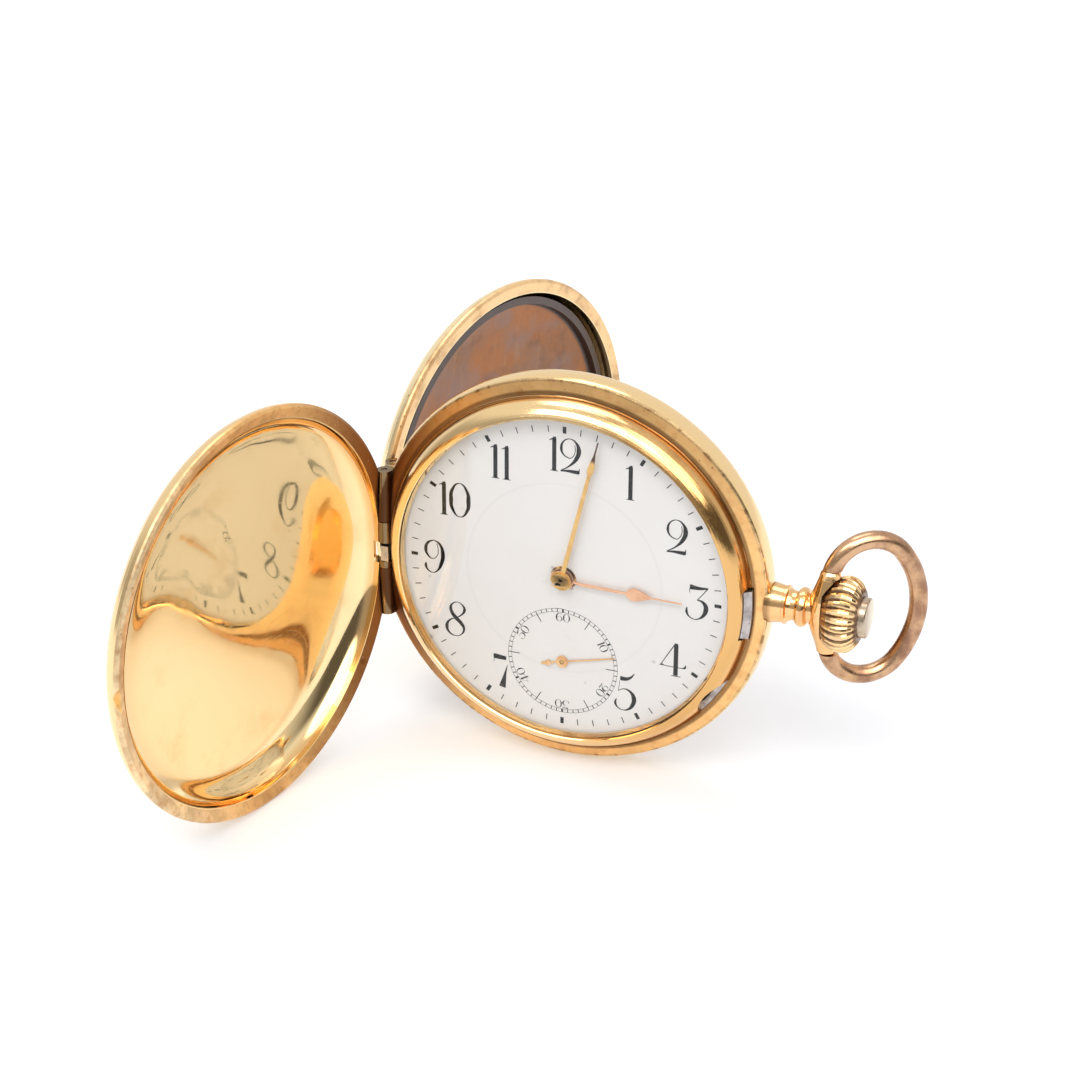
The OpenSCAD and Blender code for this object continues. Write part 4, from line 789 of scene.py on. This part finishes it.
# The numerals' strokes, drawn as a writer would: points of a brush line with the brush's half width
# at each, in a box one unit high. A stroke that ends as it starts is closed.
HAIR = 0.011
FIGURE_GAP = 0.04
HOUR_HEIGHT = 4.65
HOUR_RADIUS = 16.75
SIDE_HOUR_RADIUS = 17.3
SECONDS_HEIGHT = 1.15
SECONDS_RADIUS = 6.15
SECONDS_STRETCH = 1.3
FIGURES = {
    "0": (
        0.61,
        [
            [
                (0.305, 0.99, HAIR), (0.08, 0.75, 0.045), (0.055, 0.5, 0.058), (0.08, 0.25, 0.045),
                (0.305, 0.01, HAIR), (0.53, 0.25, 0.045), (0.555, 0.5, 0.062), (0.53, 0.75, 0.045),
                (0.305, 0.99, HAIR),
            ],
        ],
    ),
    "1": (
        0.28,
        [
            [(0.17, 0.97, 0.03), (0.17, 0.92, 0.058), (0.17, 0.06, 0.058), (0.17, 0.02, 0.07)],
            [(0.03, 0.87, HAIR), (0.12, 0.91, 0.02), (0.21, 0.975, 0.02)],
            [(0.06, 0.012, 0.01), (0.28, 0.012, 0.01)],
        ],
    ),
    "2": (
        0.58,
        [
            [
                (0.3, 0.42, HAIR), (0.12, 0.5, 0.02), (0.045, 0.68, 0.038), (0.12, 0.9, 0.018),
                (0.29, 0.975, HAIR), (0.45, 0.89, 0.03), (0.53, 0.68, 0.065), (0.47, 0.45, 0.055),
                (0.26, 0.2, 0.02), (0.03, 0.045, 0.012),
            ],
            [(0.42, 0.82, HAIR), (0.43, 0.64, HAIR), (0.37, 0.49, HAIR), (0.28, 0.42, HAIR)],
            [(0.03, 0.035, 0.015), (0.2, 0.06, 0.032), (0.4, 0.06, 0.05), (0.54, 0.062, 0.055)],
            [(0.54, 0.03, 0.02), (0.545, 0.12, 0.014), (0.55, 0.17, HAIR)],
        ],
    ),
    "3": (
        0.64,
        [
            [(0.115, 0.88, 0.012), (0.12, 0.76, 0.007)],
            [(0.12, 0.935, 0.075), (0.36, 0.925, 0.048), (0.62, 0.955, 0.022)],
            [(0.6, 0.94, 0.014), (0.46, 0.74, HAIR), (0.33, 0.575, HAIR)],
            [
                (0.33, 0.575, HAIR), (0.45, 0.56, 0.03), (0.56, 0.45, 0.06), (0.575, 0.32, 0.066),
                (0.51, 0.15, 0.045), (0.39, 0.04, 0.018), (0.27, 0.005, HAIR), (0.13, 0.06, 0.018),
                (0.05, 0.2, 0.036), (0.06, 0.33, 0.014),
            ],
        ],
    ),
    "4": (
        0.74,
        [
            [(0.45, 0.99, 0.045), (0.45, 0.92, 0.062), (0.45, 0.03, 0.062)],
            [(0.42, 0.97, 0.014), (0.05, 0.33, HAIR)],
            [(0.0, 0.28, 0.008), (0.06, 0.3, 0.028), (0.13, 0.285, HAIR), (0.72, 0.28, HAIR)],
            [(0.64, 0.285, 0.006), (0.71, 0.32, 0.03), (0.725, 0.39, 0.008)],
            [(0.33, 0.012, 0.01), (0.59, 0.012, 0.01)],
        ],
    ),
    "5": (
        0.63,
        [
            [(0.165, 0.965, 0.066), (0.32, 0.965, 0.055), (0.46, 1.03, 0.032), (0.57, 1.17, 0.008)],
            [(0.15, 0.88, 0.008), (0.14, 0.72, 0.006), (0.12, 0.58, 0.006)],
            [
                (0.12, 0.575, 0.01), (0.28, 0.655, 0.012), (0.46, 0.6, 0.035),
                (0.565, 0.42, 0.066), (0.53, 0.2, 0.055), (0.41, 0.05, 0.028), (0.26, 0.005, HAIR),
                (0.1, 0.07, 0.02), (0.04, 0.19, 0.036), (0.07, 0.32, 0.012),
            ],
        ],
    ),
    "6": (
        0.6,
        [
            [
                (0.5, 0.88, 0.03), (0.4, 0.97, 0.014), (0.28, 0.97, 0.02), (0.1, 0.74, 0.06),
                (0.06, 0.42, 0.07), (0.12, 0.14, 0.05), (0.3, 0.01, HAIR), (0.48, 0.12, 0.035),
                (0.54, 0.3, 0.05), (0.48, 0.48, 0.03), (0.32, 0.58, HAIR), (0.16, 0.48, HAIR),
            ],
        ],
    ),
    "7": (
        0.42,
        [
            [(0.01, 0.99, 0.01), (0.02, 0.75, 0.008)],
            [(0.02, 0.925, 0.078), (0.2, 0.915, 0.068), (0.375, 0.905, 0.058)],
            [(0.41, 0.71, 0.006), (0.35, 0.45, 0.032), (0.26, 0.0, 0.096)],
        ],
    ),
    "8": (
        0.61,
        [
            [
                (0.37, 1.04, HAIR), (0.22, 0.97, 0.02), (0.165, 0.85, 0.04), (0.2, 0.7, 0.05),
                (0.32, 0.55, 0.06), (0.47, 0.41, 0.055), (0.55, 0.25, 0.035), (0.47, 0.07, 0.016),
                (0.3, 0.0, HAIR), (0.12, 0.07, 0.028), (0.045, 0.26, 0.05), (0.12, 0.44, 0.025),
                (0.3, 0.55, HAIR), (0.46, 0.65, 0.02), (0.57, 0.84, 0.042), (0.5, 0.98, 0.02),
                (0.37, 1.04, HAIR),
            ],
        ],
    ),
    "9": (
        0.61,
        [
            [
                (0.3, 0.99, HAIR), (0.13, 0.9, 0.035), (0.055, 0.71, 0.05), (0.11, 0.52, 0.03),
                (0.25, 0.43, HAIR), (0.39, 0.54, HAIR), (0.42, 0.72, HAIR), (0.38, 0.9, HAIR),
            ],
            [
                (0.3, 0.99, HAIR), (0.46, 0.9, 0.035), (0.555, 0.6, 0.06), (0.5, 0.3, 0.05),
                (0.38, 0.08, 0.02), (0.25, 0.01, HAIR), (0.1, 0.08, 0.025), (0.05, 0.2, 0.04),
                (0.06, 0.29, 0.014),
            ],
        ],
    ),
}


def brush_figures(name, figures, height, middle, turned=0.0, stretch=1.0):
    """One or two numerals as flat brush lines, upright on the dial or turned about their middle."""
    drawn = bpy.data.curves.new(name, "CURVE")
    drawn.dimensions = "3D"
    drawn.twist_mode = "Z_UP"
    drawn.resolution_u = 8
    drawn.extrude = 1.0
    drawn.use_fill_caps = False
    width = sum(FIGURES[figure][0] for figure in figures) + FIGURE_GAP * (len(figures) - 1)
    start = -width / 2
    for figure in figures:
        for stroke in FIGURES[figure][1]:
            closed = len(stroke) > 3 and stroke[0] == stroke[-1]
            points = stroke[:-1] if closed else stroke
            line = drawn.splines.new("BEZIER")
            line.bezier_points.add(len(points) - 1)
            line.use_cyclic_u = closed
            for point, (x, y, half) in zip(line.bezier_points, points):
                point.co = (start + x, y - 0.5, 0)
                point.radius = half
                point.tilt = math.pi / 2
                point.handle_left_type = "AUTO"
                point.handle_right_type = "AUTO"
        start += FIGURES[figure][0] + FIGURE_GAP
    holder = bpy.data.objects.new(name, drawn)
    bpy.context.scene.collection.objects.link(holder)
    mesh = bpy.data.meshes.new_from_object(
        holder.evaluated_get(bpy.context.evaluated_depsgraph_get())
    )
    bpy.data.objects.remove(holder)
    mesh.name = name
    form = bmesh.new()
    form.from_mesh(mesh)
    bmesh.ops.remove_doubles(form, verts=form.verts, dist=0.0001)
    for face in form.faces:
        if face.normal.z < 0:
            face.normal_flip()
    place = (
        Matrix.Translation((middle[0], middle[1], PAINT_HEIGHT))
        @ Matrix.Rotation(math.radians(turned), 4, "Z")
        @ Matrix.Diagonal((height * stretch, height, 1, 1))
    )
    form.transform(place)
    form.to_mesh(mesh)
    form.free()
    return mesh


def join_meshes(name, meshes):
    """One mesh of several."""
    form = bmesh.new()
    for mesh in meshes:
        form.from_mesh(mesh)
        bpy.data.meshes.remove(mesh)
    return finish_mesh(form, name)


def clockwise(degrees, radius):
    """The place on the dial at an angle from 12 o'clock."""
    way = math.radians(degrees)
    return Vector((radius * math.sin(way), radius * math.cos(way)))


hours = []
for hour in (1, 2, 3, 4, 5, 7, 8, 9, 10, 11, 12):
    middle = clockwise(30 * hour, SIDE_HOUR_RADIUS if hour in (3, 9) else HOUR_RADIUS)
    hours.append(brush_figures("hour_%d" % hour, str(hour), HOUR_HEIGHT, middle))
keep_piece(join_meshes("hour_numerals", hours), "hour_numerals", dial_paint, "watch")
seconds = []
for count in (10, 20, 30, 40, 50, 60):
    seconds.append(
        brush_figures(
            "seconds_%d" % count,
            str(count),
            SECONDS_HEIGHT,
            SECONDS_AT.xy + clockwise(6 * count, SECONDS_RADIUS),
            turned=-6 * count,
            stretch=SECONDS_STRETCH,
        )
    )
keep_piece(join_meshes("seconds_numerals", seconds), "seconds_numerals", dial_paint, "watch")

# Hands. Stamped from sheet and finished by hand: the minute hand is yellow gold, with a painted
# dark reflection on its bent-down tip, and the hour and seconds hands are a rosier gold, with
# painted shade in the seconds hand's hole. The pipe of the minute hand is gilded too.
NO_TIP_SHADE = 40.0
MINUTE_TIP_SHADE = 17.0
NO_HOLE_SHADE = (0, 0, 0.01)
SECONDS_HOLE_SHADE = (SECONDS_AT.x, SECONDS_AT.y, 0.24)
YELLOW_HAND = ((232, 190, 118), (200, 146, 82))


def hand_gold(name, tint, deep, seed, tip_shade=NO_TIP_SHADE, hole_shade=NO_HOLE_SHADE):
    """A hand's gold, with a painted dark reflection beyond the radius of its tip, and painted shade
    in its hole (east, north, radius).
    """
    material, tree, shader, here, at = start_metal(name)
    to_hole = put(tree, "Mapping", Vector=here, Location=(-hole_shade[0], -hole_shade[1], 0)).outputs[0]
    from_hole = use(tree, round_place, Vector=to_hole)["Radius"]
    patches = cloudy(tree, here, size=1.5, seed=seed, low=0.4, high=0.7)
    finish_metal(
        tree,
        shader,
        here,
        [
            (tint, None),
            (deep, times(tree, patches, 0.45)),
            # A painted dark reflection beyond the tip's radius
            ((92, 64, 48), rise(tree, at["Radius"], tip_shade, tip_shade + 0.6)),
            # Painted shade in the hole
            ((40, 28, 22), rise(tree, from_hole, hole_shade[2], hole_shade[2] + 0.08, 1.0, 0.0)),
        ],
        (0.34, 0.44, patches),
        bump=0.15,
        grain_size=0.08,
        seed=seed,
    )
    return material


dress(hand_gold("minute_hand_gold", *YELLOW_HAND, seed=91.0, tip_shade=MINUTE_TIP_SHADE), "minute_hand")
dress(hand_gold("pipe_gold", *YELLOW_HAND, seed=97.0), "cannon_pinion")
dress(hand_gold("rose_hand_gold", (240, 190, 152), (214, 148, 108), seed=93.0), "hour_hand")
dress(
    hand_gold(
        "seconds_hand_gold", (236, 192, 136), (206, 150, 98), seed=95.0, hole_shade=SECONDS_HOLE_SHADE
    ),
    "seconds_hand",
)

# Plates and bridges. Brass, gilded with a fine frosted grain, as in the three-quarter movements of
# such watches, with a few stains of old oil. The screws are polished steel, and the jewels ruby.
material, tree, shader, here, at = start_metal("frosted_gilding")
patches = cloudy(tree, here, size=6.0, seed=101.0, low=0.4, high=0.7)
oil = cloudy(tree, here, size=2.5, seed=103.0, low=0.6, high=0.8)
finish_metal(
    tree,
    shader,
    here,
    [
        ((226, 184, 116), None),
        ((206, 160, 98), times(tree, patches, 0.7)),
        ((150, 108, 66), times(tree, oil, 0.4)),
    ],
    (0.36, 0.42, patches),
    bump=0.6,
    grain_size=0.06,
    seed=102.0,
)
dress(
    material,
    "main_plate",
    "barrel_bridge",
    "train_bridge",
    "balance_cock",
    "pallet_bridge",
)
dress(
    steel("screw_steel", (206, 206, 208), (160, 162, 168), spots=0.1, rough=0.12, seed=105.0),
    "bridge_screws",
    "winding_wheel_screws",
)
material, tree, shader, here = start_material("ruby_jewel")
depth = put(tree, "TexNoise", Vector=here, Scale=1.5, Detail=2.0).outputs[0]
ruby = mixed(tree, depth, colour(150, 16, 44), colour(206, 60, 92))
feed(tree, shader.inputs["Base Color"], ruby)
shader.inputs["Roughness"].default_value = 0.05
shader.inputs["Coat Weight"].default_value = 0.6
shader.inputs["IOR"].default_value = 1.76
dress(material, "jewels")

# Wheels and springs. The train and the balance are brass, and an arbor's end is dark in the hands'
# hub. Winding work, escape wheel and fork are polished steel, and the hairspring is tempered blue.
ARBOR_END = 1.1
material, tree, shader, here, at = start_metal("wheel_brass")
patches = cloudy(tree, here, size=2.0, seed=111.0, low=0.4, high=0.7)
finish_metal(
    tree,
    shader,
    here,
    [
        ((232, 190, 112), None),
        ((198, 150, 80), times(tree, patches, 0.6)),
        ((44, 32, 26), rise(tree, at["Height"], ARBOR_END, ARBOR_END + 0.1)),
    ],
    (0.2, 0.3, patches),
    bump=0.3,
    grain_size=0.08,
    seed=112.0,
)
dress(
    material,
    "barrel",
    "centre_wheel",
    "third_wheel",
    "fourth_wheel",
    "hour_wheel",
    "minute_wheel",
    "balance_wheel",
)
dress(
    steel("wheel_steel", (204, 203, 202), (164, 162, 160), spots=0.15, rough=0.16, seed=115.0),
    "ratchet_wheel",
    "crown_wheel",
    "click",
    "click_spring",
    "winding_pinion",
    "sliding_pinion",
    "setting_lever",
    "escape_wheel",
    "pallet_fork",
    "regulator",
)
dress(
    steel("blued_steel", (52, 70, 132), (38, 44, 92), spots=0.1, rough=0.2, seed=117.0),
    "hairspring",
)
dress(
    steel("dark_spring_steel", (150, 152, 156), (104, 106, 112), spots=0.2, rough=0.25, seed=119.0),
    "mainspring",
)

# Studio. A plain white table, soft light from the front and above, and the photographer's camera
# in front of the dial, a little to its right and above it. Far off, the table glows to white.
TABLE_HALF = 4.0
NEAR_GLOW = 0.24
FAR_GLOW = 1.1
GLOW_IN_METAL = 0.3
form = bmesh.new()
bmesh.ops.create_grid(form, x_segments=1, y_segments=1, size=TABLE_HALF)
table = finish_mesh(form, "table")
material = bpy.data.materials.new("white_table")
material.use_nodes = True
tree = material.node_tree
shader = tree.nodes["Principled BSDF"]
here = put(tree, "TexCoord").outputs["Object"]
paper = put(tree, "TexNoise", Vector=here, Scale=900.0, Detail=2.0).outputs[0]
paper = mixed(tree, paper, colour(247, 250, 255), colour(243, 246, 251))
feed(tree, shader.inputs["Base Color"], paper)
shader.inputs["Roughness"].default_value = 0.9
shader.inputs["Specular IOR Level"].default_value = 0.1
shader.inputs["Emission Color"].default_value = (1, 1, 1, 1)
rays = put(tree, "LightPath").outputs
in_metal = calc(tree, "MAXIMUM", rays["Is Glossy Ray"], rays["Is Transmission Ray"])
away = put(tree, "VectorMath", {"operation": "LENGTH"})
feed(tree, away.inputs[0], here)
glow = rise(tree, away.outputs["Value"], 0.25, 1.2, NEAR_GLOW, FAR_GLOW)
shown = calc(
    tree, "ADD", times(tree, rays["Is Camera Ray"], glow), times(tree, in_metal, GLOW_IN_METAL)
)
feed(tree, shader.inputs["Emission Strength"], shown)
floor = bpy.data.objects.new("table", table)
floor.data.materials.append(material)
bpy.context.scene.collection.objects.link(floor)


def soft_lamp(name, place, aim, size, power):
    """A rectangular lamp that faces its aim."""
    lamp = bpy.data.lights.new(name, "AREA")
    lamp.shape = "RECTANGLE"
    lamp.size, lamp.size_y = size
    lamp.energy = power
    holder = bpy.data.objects.new(name, lamp)
    bpy.context.scene.collection.objects.link(holder)
    holder.location = place
    holder.rotation_euler = (Vector(aim) - Vector(place)).to_track_quat("-Z", "Y").to_euler()


WATCH_MIDDLE = (0, 0, 0.02)
soft_lamp("key", (-0.03, -0.46, 0.7), WATCH_MIDDLE, (0.85, 0.28), 2.5)
soft_lamp("top", (-0.15, 0.25, 0.8), WATCH_MIDDLE, (0.5, 0.4), 1.3)

# The room as the metal mirrors it: pale, dark low in front, with a bright window up front right
PALE_ROOM = (0.9, 0.9, 0.9, 1)
DARK_ROOM = (0.08, 0.07, 0.06, 1)
WINDOW_LIGHT = (3.6, 3.5, 3.4, 1)
WINDOW_WAY = (0.473, -0.473, 0.743)
FILL_LIGHT = (0.6, 0.6, 0.6, 1)
world = bpy.data.worlds.new("studio")
bpy.context.scene.world = world
world.use_nodes = True
tree = world.node_tree
rays = put(tree, "LightPath").outputs
way = put(tree, "TexCoord").outputs["Generated"]
right, ahead, up = put(tree, "SeparateXYZ", Vector=way).outputs
seen_white = calc(tree, "MAXIMUM", rays["Is Camera Ray"], rays["Is Transmission Ray"])
low_in_front = times(tree, rise(tree, ahead, 0.45, -0.1), rise(tree, up, 0.62, 0.35))
dim = times(tree, low_in_front, rise(tree, right, 0.3, 0.75, 0.55, 0.95))
room = mixed(tree, dim, PALE_ROOM, DARK_ROOM)
to_window = put(tree, "VectorMath", {"operation": "DOT_PRODUCT"})
feed(tree, to_window.inputs[0], way)
feed(tree, to_window.inputs[1], WINDOW_WAY)
room = mixed(tree, rise(tree, to_window.outputs["Value"], 0.86, 0.92), room, WINDOW_LIGHT)
fill = mixed(tree, rays["Is Glossy Ray"], FILL_LIGHT, room)
around = mixed(tree, seen_white, fill, (1, 1, 1, 1))
feed(tree, tree.nodes["Background"].inputs["Color"], around)

CAMERA_PLACE = (0.09877, -0.26382, 0.16745)
CAMERA_RIGHT = Vector((0.93215, 0.36204, 0.00356))
CAMERA_UP = Vector((-0.16057, 0.40456, 0.90030))
photographer = bpy.data.cameras.new("photographer")
photographer.lens = 85.0
photographer.sensor_width = 36.0
camera = bpy.data.objects.new("photographer", photographer)
bpy.context.scene.collection.objects.link(camera)
axes = Matrix((CAMERA_RIGHT, CAMERA_UP, CAMERA_RIGHT.cross(CAMERA_UP))).transposed()
camera.matrix_world = Matrix.Translation(CAMERA_PLACE) @ axes.to_4x4()
bpy.context.scene.camera = camera
bpy.context.scene.view_settings.view_transform = "Standard"
